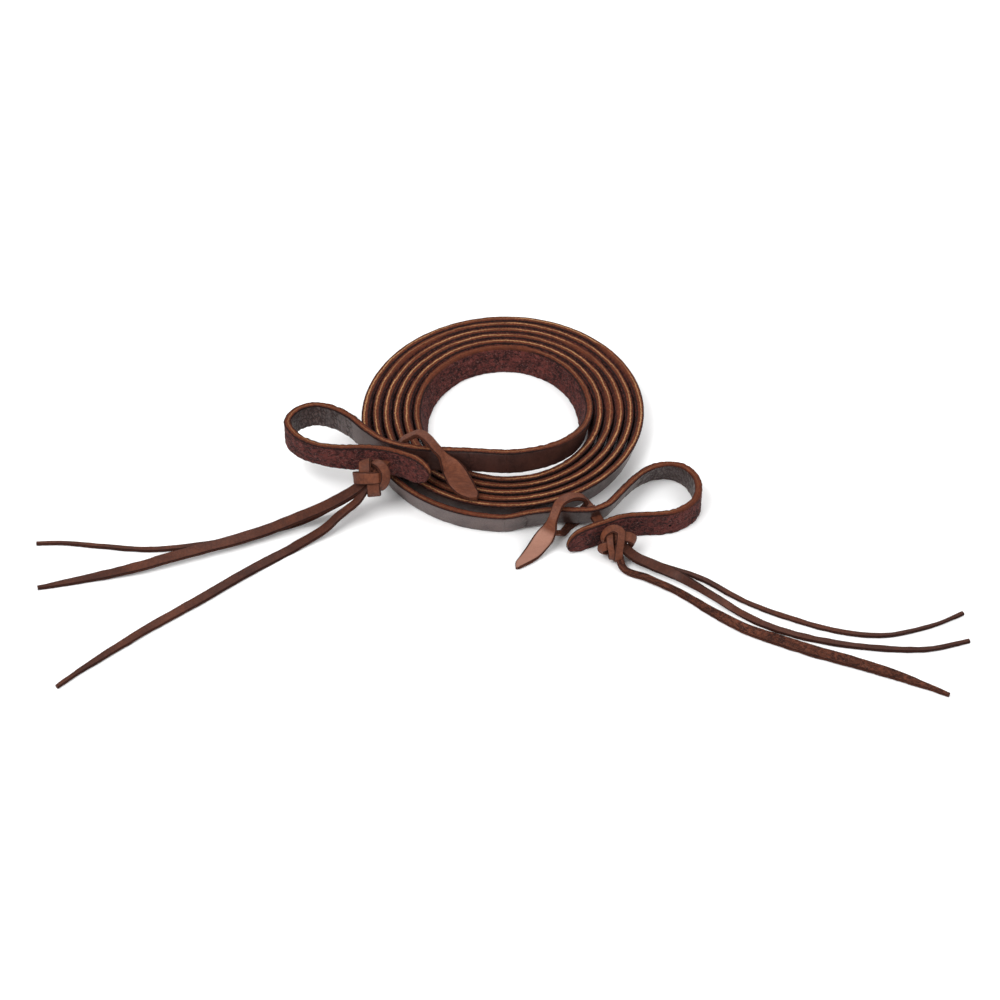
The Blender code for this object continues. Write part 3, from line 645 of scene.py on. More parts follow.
def grain_effect() -> bpy.types.NodeTree:
    """Grain side of leather: fine pebbles, pores and soft mottling.

    Cells of a Voronoi pattern give the pebbles, their borders the pores, and two sizes of noise the
    mottling. Wrinkles are the borders of larger, warped cells, where the leather is creased; they also
    darken the mottle, a painted shade in the creases.
    """
    names = ("Height", "MottleAndCreaseShade", "Pores", "Polish")
    group, tree, given, out = effect("leather_grain", ("Crease",), names)
    place = given.outputs["Surface"]
    cells = tree.node("ShaderNodeTexVoronoi", feature="DISTANCE_TO_EDGE")
    cells.inputs["Scale"].default_value = 1500.0
    tree.join(place, cells.inputs["Vector"])
    pebble = tree.band(cells.outputs["Distance"], 0.0, 0.22)
    broad = tree.noise(place, 90.0, 4.0, 0.6)
    fine = tree.noise(place, 650.0, 2.0, 0.6)
    warped = tree.node("ShaderNodeVectorMath", operation="MULTIPLY_ADD")
    tree.join(tree.noise(place, 420.0, 2.0), warped.inputs[0])
    warped.inputs[1].default_value = (0.0016, 0.0016, 0.0)
    tree.join(tree.stretch(place, (1.0, 0.55, 1.0)), warped.inputs[2])
    wrinkles = tree.node("ShaderNodeTexVoronoi", feature="DISTANCE_TO_EDGE")
    wrinkles.inputs["Scale"].default_value = 620.0
    tree.join(warped.outputs[0], wrinkles.inputs["Vector"])
    deep = tree.band(wrinkles.outputs["Distance"], 0.02, 0.20, 1.0, 0.0)
    creased = tree.times(deep, given.outputs["Crease"])
    height = tree.plus(tree.times(pebble, 0.35), tree.times(fine, 0.3))
    tree.join(tree.minus(height, tree.times(creased, 1.6)), out.inputs["Height"])
    mottle = tree.plus(tree.times(broad, 0.7), tree.times(fine, 0.3))
    # The wrinkles darken the mottle: painted shade in the creases.
    tree.join(tree.minus(mottle, tree.times(creased, 0.7)), out.inputs["MottleAndCreaseShade"])
    tree.join(tree.minus(1.0, pebble), out.inputs["Pores"])
    kept = tree.minus(1.0, tree.times(creased, 0.85))
    tree.join(tree.times(kept, tree.band(broad, 0.3, 0.7, 0.75, 1.15)), out.inputs["Polish"])
    return group


def nap_effect() -> bpy.types.NodeTree:
    """Flesh side and cut edges: loose fibres and pits.

    Noise stretched along the strap gives the fibres, and finer noise the pits between them. The peaks of a
    third noise are a painted highlight: light flecks where loose fibres catch the light.
    """
    group, tree, given, out = effect("fibre_nap", (), ("Height", "Tone", "FibreHighlight"))
    place = given.outputs["Surface"]
    fibres = tree.noise(tree.stretch(place, (0.45, 1.0, 1.0)), 1100.0, 4.0, 0.65, 1.4)
    pits = tree.noise(place, 520.0, 3.0, 0.7, 0.6)
    patches = tree.noise(place, 120.0, 3.0, 0.6)
    tree.join(tree.plus(tree.times(fibres, 0.6), tree.band(pits, 0.38, 0.62)),
              out.inputs["Height"])
    tone = tree.plus(tree.times(fibres, 0.4), tree.times(pits, 0.35))
    tree.join(tree.plus(tone, tree.times(patches, 0.25)), out.inputs["Tone"])
    # Painted highlight: light flecks on the peaks of a third noise, where loose fibres catch the light.
    glint_noise = tree.noise(tree.stretch(place, (0.6, 1.0, 1.0)), 1500.0, 1.0, 0.5, 2.0)
    tree.join(tree.band(glint_noise, 0.60, 0.72, 0.0, 0.7), out.inputs["FibreHighlight"])
    return group


def edge_effect() -> bpy.types.NodeTree:
    """The layers that a cut and burnished edge shows, across the leather's thickness.

    A light core lies a little towards the grain side, partly the leather's own colour and partly a painted
    highlight along the edge, and dark burnishing at both margins. Noise along the edge bends the core,
    thins it and breaks it.
    """
    group, tree, given, out = effect("edge_layers", ("Layer",), ("CoreAndHighlight", "Margin", "Rough"))
    place, layer = given.outputs["Surface"], given.outputs["Layer"]
    lengthwise = tree.stretch(place, (1.0, 0.0, 0.0))
    sway = tree.band(tree.noise(lengthwise, 70.0, 3.0), 0.3, 0.7, -0.16, 0.16)
    fray = tree.band(tree.noise(place, 900.0, 2.0), 0.3, 0.7, -0.09, 0.09)
    bent = tree.plus(layer, tree.plus(sway, fray))
    away = tree.maths("ABSOLUTE", tree.minus(bent, 0.12))
    presence = tree.band(tree.noise(lengthwise, 24.0, 2.0), 0.36, 0.56, 0.25, 1.0)
    # The light core line: the leather's own core, brightened by a painted highlight.
    core_and_highlight = tree.times(tree.band(away, 0.05, 0.26, 1.0, 0.0), presence)
    tree.join(core_and_highlight, out.inputs["CoreAndHighlight"])
    wide = tree.maths("ABSOLUTE", tree.plus(layer, fray))
    tree.join(tree.band(wide, 0.42, 0.85), out.inputs["Margin"])
    tree.join(tree.band(tree.noise(lengthwise, 11.0, 2.0), 0.52, 0.62), out.inputs["Rough"])
    return group


@dataclass(frozen=True)
class LeatherFinish:
    """A leather: colours of its grain, flesh and edge, and how each shines."""

    name: str
    grain: Colour
    grain_dark: Colour
    flesh: Colour
    flesh_dark: Colour
    # Painted highlight on the loose fibres of the flesh side.
    fibre_highlight: Colour
    edge: Colour
    # Light core line of the edges: the leather's own core colour, partly a painted highlight.
    core_and_highlight: Colour
    margin: Colour
    # Painted shade inside the hole.
    hole_shade: Colour
    # Tint multiplied in where the dark mark darkens the leather.
    darker_tint: Colour
    grain_roughness: float
    flesh_roughness: float
    grain_bump: float
    flesh_bump: float
    polish: float
    # Painted light: the paler colour of a leaf's lit face.
    lit_face: Colour

    def material(self, groups: dict[str, bpy.types.NodeTree]) -> bpy.types.Material:
        """Build the leather's nodes.

        The layer mark is 1 on the grain side and -1 on the flesh side, and the brim mark nears 1
        on the cut edges, so the three colourings meet where the real layers do.

        Args:
            groups: The shared effects by name.

        Returns:
            The material.
        """
        made = bpy.data.materials.new(self.name)
        made.use_nodes = True
        tree = Tree(made.node_tree)
        shader = made.node_tree.nodes["Principled BSDF"]
        surface = tree.node("ShaderNodeUVMap", uv_map="surface").outputs["UV"]
        layer, brim, crease = tree.mark("layer"), tree.mark("brim"), tree.mark("crease")
        core_highlight_share, lit_face, hole = tree.mark("core_highlight_share"), tree.mark("lit_face"), tree.mark("hole")
        dark = tree.mark("dark")
        grain = self._place(tree, groups["leather_grain"], Surface=surface, Crease=crease)
        nap = self._place(tree, groups["fibre_nap"], Surface=surface)
        edge = self._place(tree, groups["edge_layers"], Surface=surface, Layer=layer)
        is_edge = tree.band(brim, 0.88, 0.95)
        is_flesh = tree.band(layer, -0.55, -0.85)
        # The mottle holds random tone and painted shade in the creases.
        grain_colour = tree.mix(tree.band(grain["MottleAndCreaseShade"], 0.3, 0.7), self.grain_dark, self.grain)
        # Painted light: the lit face of the right leaf is paler.
        grain_colour = tree.mix(tree.times(lit_face, tree.band(grain["MottleAndCreaseShade"], 0.1, 0.5, 0.8, 1.0)),
                                grain_colour, self.lit_face)
        flesh_colour = tree.mix(tree.band(nap["Tone"], 0.42, 0.58), self.flesh_dark, self.flesh)
        # Painted highlight where loose fibres catch the light.
        flesh_colour = tree.mix(nap["FibreHighlight"], flesh_colour, self.fibre_highlight)
        dull = tree.mix(0.45, self.edge, self.margin)
        edge_tone = tree.mix(tree.band(nap["Tone"], 0.3, 0.7), dull, self.edge)
        # The edges' light core line, partly real core and partly painted highlight.
        edge_colour = tree.mix(tree.times(edge["CoreAndHighlight"], core_highlight_share), edge_tone, self.core_and_highlight)
        edge_colour = tree.mix(edge["Margin"], edge_colour, self.margin)
        edge_colour = tree.mix(tree.times(edge["Rough"], 0.65), edge_colour, edge_tone)
        colour = tree.mix(is_flesh, grain_colour, flesh_colour)
        colour = tree.mix(is_edge, colour, edge_colour)
        coarse = tree.maths("MAXIMUM", is_flesh, is_edge)
        roughness = tree.band(coarse, 0.0, 1.0, self.grain_roughness, self.flesh_roughness)
        speckle = tree.times(grain["Pores"], 0.14)
        tree.join(tree.maths("ADD", roughness, speckle, clamp=True), shader.inputs["Roughness"])
        grain_height = tree.times(grain["Height"], self.grain_bump)
        rough_height = tree.times(nap["Height"], self.flesh_bump)
        height = tree.node("ShaderNodeMix", data_type="FLOAT")
        tree.join(coarse, height.inputs[0])
        tree.join(grain_height, height.inputs[2])
        tree.join(rough_height, height.inputs[3])
        colour = tree.mix(dark, colour, tree.mix(1.0, colour, self.darker_tint, "MULTIPLY"))
        # Painted shade inside the hole.
        colour = tree.mix(tree.band(hole, 0.40, 0.65), colour, self.hole_shade)
        tree.join(colour, shader.inputs["Base Color"])
        polish = tree.times(tree.band(coarse, 0.0, 1.0, self.polish, 0.0), grain["Polish"])
        tree.join(polish, shader.inputs["Coat Weight"])
        shader.inputs["Coat Roughness"].default_value = 0.34
        shader.inputs["Coat Tint"].default_value = (1.0, 0.90, 0.87, 1.0)
        bump = tree.node("ShaderNodeBump")
        bump.inputs["Strength"].default_value = 0.9
        bump.inputs["Distance"].default_value = 0.0006
        tree.join(height.outputs[0], bump.inputs["Height"])
        tree.join(bump.outputs["Normal"], shader.inputs["Normal"])
        shader.inputs["Specular IOR Level"].default_value = 0.22
        return made

    @staticmethod
    def _place(tree: Tree, group: bpy.types.NodeTree, **given: object) -> dict[str, bpy.types.NodeSocket]:
        """Place a shared effect and join what it is given. Returns its outputs by name."""
        node = tree.node("ShaderNodeGroup", node_tree=group)
        for key, value in given.items():
            tree.join(value, node.inputs[key])
        return {socket.name: socket for socket in node.outputs}


STRAP_LEATHER = LeatherFinish(
    name="strap_leather",
    grain=(0.062, 0.024, 0.018),
    grain_dark=(0.026, 0.010, 0.008),
    flesh=(0.120, 0.028, 0.023),
    flesh_dark=(0.016, 0.0040, 0.0042),
    fibre_highlight=(0.240, 0.115, 0.100),
    edge=(0.140, 0.032, 0.012),
    core_and_highlight=(0.420, 0.215, 0.095),
    margin=(0.013, 0.0040, 0.0035),
    hole_shade=(0.0015, 0.0008, 0.0008),
    darker_tint=(0.40, 0.33, 0.30),
    grain_roughness=0.42,
    flesh_roughness=0.88,
    grain_bump=0.35,
    flesh_bump=1.1,
    polish=0.70,
    lit_face=(0.30, 0.13, 0.08),
)
THONG_LEATHER = LeatherFinish(
    name="thong_leather",
    grain=(0.165, 0.048, 0.020),
    grain_dark=(0.085, 0.022, 0.009),
    flesh=(0.150, 0.046, 0.024),
    flesh_dark=(0.028, 0.007, 0.004),
    fibre_highlight=(0.220, 0.100, 0.070),
    edge=(0.095, 0.024, 0.010),
    core_and_highlight=(0.240, 0.085, 0.040),
    margin=(0.026, 0.007, 0.004),
    hole_shade=(0.0015, 0.0008, 0.0008),
    darker_tint=(0.40, 0.33, 0.30),
    grain_roughness=0.60,
    flesh_roughness=0.92,
    grain_bump=0.45,
    flesh_bump=1.0,
    polish=0.10,
    lit_face=(0.310, 0.150, 0.105),
)


# --- the strap ---------------------------------------------------------------------------------


@dataclass
class Strap:
    """The reins' one strap: its coil, and the stretches that end in the bit loops."""

    finish: bpy.types.Material
    coil_step: float = 0.0011
    end_step: float = 0.0004
    coil_face_points: int = 14
    end_face_points: int = 26
    edge_points: int = 9
    wander: float = 0.00007
    nap_depth: float = 0.00013
    fray_depth: float = 0.00014
    crease_depth: float = 0.00030
    tip_thinning: float = 0.45
    reins_start: float = 0.25
    hole_place: tuple[float, float, float] = (0.0765, -0.0215, 0.0052)
    hole_radius: float = 0.00090
    hole_depth: float = 0.0006

    def skin(self, points: np.ndarray, grain: np.ndarray, lean: np.ndarray, start: float,
             narrow: np.ndarray, bias: float, crease: np.ndarray, core_highlight_share: np.ndarray,
             face_points: int) -> Shell:
        """The strap's skin along a line.

        The section is a bar with rounded edges, its faces leaning with the strap. Each point
        moves out by noise: a slow wander everywhere, a nap on the flesh side, a fray on the
        edges, and creases across the grain side where it is bent inwards.

        Args:
            points: The strap's middle.
            grain: Level direction of its grain side.
            lean: Lean towards the grain side, in radians.
            start: Distance from the reins' start, which the finish reads.
            narrow: Share of the width at each point.
            bias: Which way a narrowing end moves, as a share of the half width.
            crease: How creased the grain side is at each point.
            core_highlight_share: How much of the light core line, the leather's own core with a painted
                highlight, shows on the edges at each point.
            face_points: Points across each face.

        Returns:
            The skin.
        """
        half = STRAP.width / 2
        outline, facing = rounded_bar(face_points, self.edge_points, STRAP.edge_radius / half, 0.62)
        up = np.cos(lean)[:, None] * np.array([0.0, 0.0, 1.0]) + np.sin(lean)[:, None] * grain
        thin = STRAP.thickness / 2 / np.cos(lean) * (1.0 - self.tip_thinning * (1.0 - narrow))
        middle = points + up * (bias * half * (1.0 - narrow))[:, None]
        rings = (
            middle[:, None]
            + (thin[:, None] * outline[:, 0])[..., None] * grain[:, None]
            + (half * narrow[:, None] * outline[:, 1])[..., None] * up[:, None]
        )
        out = unit(facing[:, 0, None] * grain[:, None] + facing[:, 1, None] * up[:, None])
        along = start + travelled(points)
        arc = travelled(np.vstack([outline, outline[:1]]) * [STRAP.thickness / 2, half])
        spread = np.stack(np.broadcast_arrays(along[:, None], arc[:-1], 0.0), axis=-1)
        layer, brim = outline[:, 0], np.abs(outline[:, 1])
        is_edge = smooth_step((brim - 0.86) / 0.1)
        is_flesh = smooth_step(-layer)
        shift = self.wander * value_noise(rings / 0.011, 3)
        nap = value_noise(spread / 0.0018, 5) + 0.7 * value_noise(spread / 0.0009, 6)
        shift = shift + self.nap_depth * is_flesh * nap
        rough = 0.6 + 0.8 * (1.0 - core_highlight_share[:, None])
        shift = shift + self.fray_depth * is_edge * rough * value_noise(spread / 0.0017, 7)
        creases = value_noise(spread / [0.0017, 0.0052, 1.0], 11)
        is_grain = smooth_step(layer * 2.0 - 1.0)
        shift = shift - self.crease_depth * crease[:, None] * is_grain * np.abs(creases)
        away = np.linalg.norm(rings - np.array(self.hole_place), axis=-1)
        hole = np.exp(-((away / self.hole_radius) ** 2))
        shift = shift - self.hole_depth * hole
        rings = rings + shift[..., None] * out + SHIFT
        rings[..., 2] = np.maximum(rings[..., 2], 0.0)
        level = np.ones_like(layer)
        marks = {
            "layer": layer, "brim": brim, "hole": hole,
            "crease": crease[:, None] * level, "core_highlight_share": core_highlight_share[:, None] * level,
        }
        return Shell(rings, along, arc[:-1], marks)

    def coil(self) -> bpy.types.Object:
        """The coiled middle of the strap.

        Returns:
            The piece.
        """
        count = int(COIL.turns * 2 * math.pi * (COIL.rim_radius - 0.015) / self.coil_step)
        points, outward, lean = coil_centre(np.linspace(0.0, COIL.turns, count))
        plain = np.ones(count)
        turns = np.linspace(0.0, COIL.turns, count)
        # The core line and its painted highlight show most between the first tenth of the outer turn and
        # the innermost turn.
        core_highlight_share = smooth_step((turns - 0.10) / 0.12) * (1.0 - smooth_step((turns - COIL.turns + 0.95) / 0.2))
        shell = self.skin(points, outward, lean, self.reins_start, plain, 0.0, plain * 0.06,
                          0.32 + 0.68 * core_highlight_share, self.coil_face_points)
        made = build_mesh("rein_coil_strap", [shell], self.finish)
        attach(made, "rein_coil")
        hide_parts("rein_strap")
        return made

    def end(self, side: EndRoutes) -> bpy.types.Object:
        """A bit loop: the strap from the coil, round the loop and back to its tip.

        Args:
            side: The end's routes.

        Returns:
            The piece.
        """
        points, grain, lean = end_line(side, self.end_step)
        left = travelled(points)[-1] - travelled(points)
        short = np.clip(1.0 - left / STRAP.tip_length, 0.0, 1.0)
        narrow = np.maximum(np.sqrt(1.0 - short**2.4), 0.12)
        travel = tangents(points)
        bend = np.sum(np.gradient(travel, travelled(points), axis=0) * grain, axis=1)
        crease = np.clip(smooth_step(bend / 45.0), 0.06, 1.0)
        coil_line = coil_centre(np.linspace(0.0, COIL.turns, 2000))[0]
        start = self.reins_start + (0.0 if side.hand is Hand.RIGHT else float(travelled(coil_line)[-1]))
        # The ends show less of the core line and its painted highlight.
        shell = self.skin(points, grain, lean, start, narrow, side.tip_bias, crease,
                          np.full(len(points), 0.32), self.end_face_points)
        if side.hand is Hand.RIGHT:
            shell.along = start - travelled(points)
        name = side.hand.value
        made = build_mesh(f"{name}_bit_loop_strap", [shell], self.finish)
        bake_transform(made)
        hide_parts(f"{name}_bit_loop")
        return made


def end_line(side: EndRoutes, step: float) -> tuple[np.ndarray, np.ndarray, np.ndarray]:
    """The strap's middle from the coil to the fold's tip, as in the CAD.

    Args:
        side: The end's routes.
        step: About how far apart the points are.

    Returns:
        The places, the level directions of the grain side, and the leans.
    """
    is_right = side.hand is Hand.RIGHT
    start_turn = 0.0 if is_right else float(COIL.turns)
    back = COIL.lead_turns if is_right else -COIL.lead_turns
    lead, outward, lead_lean = coil_centre(np.array([start_turn + back, start_turn]))
    rows = [(*place[:2], 0.0, tilt, 0.0) for place, tilt in zip(lead, lead_lean)]
    rows += [(x, y, 0.0, math.radians(degrees), share) for x, y, degrees, share in side.strap]
    samples = smooth_rows(rows, step)
    lift = np.clip(samples[:, 4], 0.0, 1.0) * STRAP.tie_lift
    samples[:, 2] = side.base + STRAP.width / 2 * np.cos(samples[:, 3]) + lift
    past = (samples[:, :3] - lead[1]) @ tangents(lead)[1]
    first = int(np.argmax(past > step * 0.5))
    samples = np.vstack([[*lead[1], lead_lean[1], 0.0], samples[first:]])
    grain = level_left(samples[:, :3]) * side.grain
    blend = smooth_step(travelled(samples[:, :3]) / 0.004)[:, None]
    grain = unit(grain * blend + outward[1] * (1.0 - blend))
    return samples[:, :3], grain, samples[:, 3]


# --- the ties ----------------------------------------------------------------------------------

# How much darker each knot's bands and each tail's upper surface are made.
KNOT_DARKNESS = {Hand.RIGHT: 0.1, Hand.LEFT: 0.3}
TAIL_DARKNESS = {Surface.GRAIN: 0.85, Surface.FLESH: 0.35}


@dataclass
class Tie:
    """One thong: its leaf-shaped tab, its shank and legs, its button knot and its three tails."""

    side: EndRoutes
    finish: bpy.types.Material
    thickness: float = 0.0020
    tab_thickness: float = 0.0020
    tail_thickness: float = 0.0017
    tail_rest: float = 0.0001
    leg_width: float = 0.0046
    knot_setback: float = 0.0050
    leaf_turn: tuple[Row, ...] = ((0.5, 0.9), (0.15, 0.4))
    shank_width: float = 0.0050
    step: float = 0.0006
    knot_step: float = 0.0004
    knot_tilt: float = math.radians(38.0)
    side_points: int = 9
    end_points: int = 5
    wander: float = 0.00012
    ragged: float = 0.00016
    far_reach: float = 0.0037
    near_reach: float = 0.0040
    leaf_reach: float = 0.0024
    leg_end: float = 0.0012
    lower_share: float = 0.8
    leg_level: float = 0.85
    # Length over which the painted light fades in on the right leaf.
    leaf_light_ramp: float = 0.004
    core_radii: tuple[float, float, float] = (0.0046, 0.0052, 0.0030)
    core_margin: float = 0.06
    core_steps: tuple[int, int] = (16, 24)
    root_share: float = 0.35
    bend_before: float = 0.001
    bend_after: float = 0.010

    def ribbon(self, rows: Rows | list | np.ndarray, hint: np.ndarray | None, thickness: float,
               seed: int, surface: Surface = Surface.GRAIN, step: float | None = None,
               lit_face: tuple[float, float] | None = None, dark: float = 0.0) -> Shell:
        """A hand-cut thong's skin along a route.

        The section is a thin bar with rounded edges. Its width runs along the hint, or level to
        the left of the travel, rolled about the travel by the rows' last column. Noise moves
        the edges in and out and the faces up and down.

        Args:
            rows: x, y, z, width and roll in degrees, and, where the hint is one direction, the
                share of level-left in the width's direction and how square it is to the travel.
            hint: Direction of the width, or the middle of the ball that the strand is wrapped
                round, as an array of one row, or None for level.
            thickness: Thickness of the thong.
            seed: Another unevenness for each seed.
            surface: Which surface is on the left-hand turn's upper side.
            step: About how far apart the rings are.
            lit_face: Where along the route painted light on the thong's face begins, and over what length
                it fades in.
            dark: How much darker the thong is made.

        Returns:
            The skin.
        """
        samples = smooth_rows(rows, step or self.step)
        points, width, roll = samples[:, :3], samples[:, 3], np.radians(samples[:, 4])
        travel = tangents(points)
        if hint is None:
            across = level_left(points)
        elif hint.ndim == 1:
            level = np.clip(samples[:, 5:6], 0.0, 1.0)
            across = unit(hint * (1.0 - level) + level_left(points) * level)
        else:
            across = np.cross(unit(points - hint[0]), travel)
        along_travel = np.sum(across * travel, axis=1, keepdims=True) * travel
        squareness = 1.0 if hint is None or hint.ndim == 2 else np.clip(samples[:, 6:7], 0.0, 1.0)
        across = unit(across - along_travel * squareness)
        up = unit(np.cross(travel, across))
        across, up = (
            np.cos(roll)[:, None] * across + np.sin(roll)[:, None] * up,
            np.cos(roll)[:, None] * up - np.sin(roll)[:, None] * across,
        )
        outline, facing = rounded_bar(self.side_points, self.end_points, 0.28, 0.7)
        along = travelled(points)
        ragged = np.stack([
            value_noise(np.stack([along / 0.0042, np.full_like(along, turn), along * 0], axis=1), seed)
            for turn in (0.5, 7.5)
        ])
        edge_shift = np.where(outline[:, 1] > 0, ragged[0][:, None], -ragged[1][:, None])
        edge_shift = edge_shift * np.abs(outline[:, 1])
        thin = np.minimum(thickness / 2, width * 0.5)
        rings = (
            points[:, None]
            + (thin[:, None] * outline[:, 0])[..., None] * up[:, None]
            + (width[:, None] / 2 * outline[:, 1] + self.ragged * edge_shift)[..., None]
            * across[:, None]
        )
        out = facing[:, 0, None] * up[:, None] + facing[:, 1, None] * across[:, None]
        shift = self.wander * value_noise(rings / 0.0034, seed + 1) * np.abs(outline[:, 0])
        rings = rings + shift[..., None] * out + SHIFT
        rings[..., 2] = np.maximum(rings[..., 2], 0.00002)
        arc = travelled(np.vstack([outline, outline[:1]]) * [thickness / 2, float(width.mean()) / 2])
        stains = np.stack([along / 0.012, along * 0, along * 0], axis=1)
        marks = {
            "layer": outline[:, 0] * surface.value,
            "brim": np.clip(np.abs(outline[:, 1]) * 1.06, 0.0, 1.0),
            "crease": np.full(len(outline), 0.12),
            "lit_face": np.zeros(len(outline)),
            "dark": np.clip(dark + 0.25 * value_noise(stains, seed), 0, 1)[:, None],
        }
        # Painted light on the face, away from the edges, from the given place on.
        if lit_face is not None:
            lit_share = smooth_step((along - lit_face[0]) / lit_face[1])[:, None]
            marks["lit_face"] = lit_share * (1.0 - smooth_step((np.abs(outline[:, 1]) - 0.80) / 0.16))
        return Shell(rings, along + seed * 0.37, arc[:-1], marks)

    def place(self, row: Row) -> tuple[float, float, float]:
        """World place of a leg's point, from the strap's face and by the strap's height."""
        x, y, face, share, height = row
        bottom = self.side.base + STRAP.tie_lift
        return (x, y + face * STRAP.thickness / 2, bottom + share * STRAP.width + height)

    def slots(self) -> tuple[np.ndarray, np.ndarray]:
        """The middles of the far and near slots, on the strap's middle line."""
        points, _, _ = end_line(self.side, 0.0026)
        found = []
        for x, y in self.side.slots:
            nearest = np.argmin(np.hypot(points[:, 0] - x, points[:, 1] - y))
            found.append(np.array([x, y, points[nearest, 2]]))
        return found[0], found[1]

    def tab(self) -> bpy.types.Object:
        """The leaf and the leg that carries it over the strap's top edge, in one ribbon.

        Returns:
            The piece.
        """
        side, name = self.side, self.side.hand.value
        bottom = side.base + STRAP.tie_lift
        turns = self.leaf_turn + ((0.0, 0.0),) * (len(side.tab) - len(self.leaf_turn))
        leaf = [
            (x, y - STRAP.thickness / 2, bottom + share * STRAP.width + height, width, 0.0, *turn)
            for (x, y, share, height, width), turn in zip(side.tab, turns)
        ]
        leg = [(*self.place(row), self.leg_width, 0.0, self.leg_level, 1.0) for row in reversed(side.upper)]
        far, near = self.slots()
        travel = unit(near - far)
        rows = [(*(far - travel * self.leaf_reach), self.leg_width, 0.0, 0.0, 1.0)] + leg + leaf
        neck = float(travelled(np.array(rows)[:, :3])[len(leg) + 1])
        # Only the right leaf's face gets the painted light.
        shell = self.ribbon(rows, np.array([1.0, 0.0, 0.0]), self.tab_thickness, 31 + len(name),
                            lit_face=(neck, self.leaf_light_ramp) if side.hand is Hand.RIGHT else None)
        made = build_mesh(f"{name}_tie_leaf", [shell], self.finish)
        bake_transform(made)
        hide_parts(f"{name}_tie_tab")
        return made

    def shank(self) -> bpy.types.Object:
        """The shank through the slots, and the leg under the strap.

        Returns:
            The piece.
        """
        side, name = self.side, self.side.hand.value
        far, near = self.slots()
        travel = unit(near - far)
        behind = far - travel * self.far_reach
        ahead = near + travel * self.near_reach
        rows = [(*p, self.shank_width, 0.0, 0.0, 1.0) for p in (behind, far, near, ahead)]
        level = np.array([1.0, 0.0, 0.0])
        shells = [self.ribbon(rows, level, self.thickness, 41 + len(name))]
        width = self.leg_width * self.lower_share
        leg = [(*self.place(row), width, 0.0, 0.0, 1.0) for row in side.lower]
        leg.append((*(behind + travel * self.leg_end), width, 0.0, 0.0, 1.0))
        shells.append(self.ribbon(leg, level, self.thickness, 43 + len(name)))
        made = build_mesh(f"{name}_tie_shank", shells, self.finish)
        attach(made, f"{name}_bit_end")
        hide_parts(f"{name}_tie_thong")
        return made

    def knot_centre(self) -> np.ndarray:
        """Centre of the button knot."""
        x, y, height = self.side.knot
        share = 0.0 if self.side.hand is Hand.RIGHT else 1.0
        return np.array([x, y, self.side.base + share * STRAP.tie_lift + STRAP.width / 2 + height])

    def knot(self) -> bpy.types.Object:
        """The button knot: flat strands that pass over and under each other round a core.

        Each strand is a ribbon whose face follows the ball that it is wrapped on. The core is a
        flattened ball: sines and cosines of two angles.

        Returns:
            The piece.
        """
        name = self.side.hand.value
        darkness = KNOT_DARKNESS[self.side.hand]
        centre = self.knot_centre()
        right = np.array([1.0, 0.0, 0.0])
        facing = np.array([0.0, -math.cos(self.knot_tilt), math.sin(self.knot_tilt)])
        top = np.cross(right, facing) * -1.0
        top = top * math.copysign(1.0, top[2])
        shells = []
        for index, band in enumerate(self.side.bands):
            rows = [
                (*(centre + (x * right + y * top + z * facing) / 1000.0), width / 1000.0, 0.0)
                for x, y, z, width in band
            ]
            behind = centre - facing * self.knot_setback
            shells.append(self.ribbon(rows, behind[None], self.thickness, 51 + index,
                                      step=self.knot_step, dark=darkness))
        rings, sides = self.core_steps
        latitude = np.linspace(self.core_margin, math.pi - self.core_margin, rings)
        longitude = np.linspace(0.0, 2 * math.pi, sides, endpoint=False)
        wide, tall, deep = self.core_radii
        ball = (
            (np.sin(latitude)[:, None] * np.cos(longitude))[..., None] * right * wide
            + (np.sin(latitude)[:, None] * np.sin(longitude))[..., None] * top * tall
            + (np.cos(latitude)[:, None] * np.ones_like(longitude))[..., None] * facing * deep
        )
        marks = {key: np.zeros(sides) for key in ("brim", "crease", "lit_face", "dark")}
        marks["layer"] = np.full(sides, -1.0)
        shells.append(Shell(ball + centre + SHIFT, latitude * 0.005, longitude * 0.005, marks))
        made = build_mesh(f"{name}_knot", shells, self.finish)
        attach(made, f"{name}_bit_end")
        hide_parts(f"{name}_button_knot")
        return made

    def tail(self, index: int) -> bpy.types.Object:
        """A loose tail, from inside the knot to its point.

        Args:
            index: Which of the side's tails.

        Returns:
            The piece.
        """
        which, surface, route = self.side.tails[index]
        name = self.side.hand.value
        centre = self.knot_centre()
        rows = [
            (x, y, share * centre[2] + height + self.tail_thickness / 2 + self.tail_rest, width, roll)
            for x, y, share, height, width, roll in route
        ]
        root = np.array(rows[0][:3])
        towards = centre + (root - centre) * self.root_share
        rows = [(*towards, rows[0][3], 0.0)] + rows
        darkness = TAIL_DARKNESS[surface]
        shell = self.ribbon(rows, None, self.tail_thickness, 61 + index * 3 + len(name), surface, dark=darkness)
        made = build_mesh(f"{name}_{which}_strand", [shell], self.finish)
        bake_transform(made)
        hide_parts(f"{name}_{which}_tail")
        return made

    def build(self) -> list[bpy.types.Object]:
        """All of the thong's pieces."""
        return [self.tab(), self.shank(), self.knot()] + [self.tail(index) for index in range(3)]


# --- the studio --------------------------------------------------------------------------------


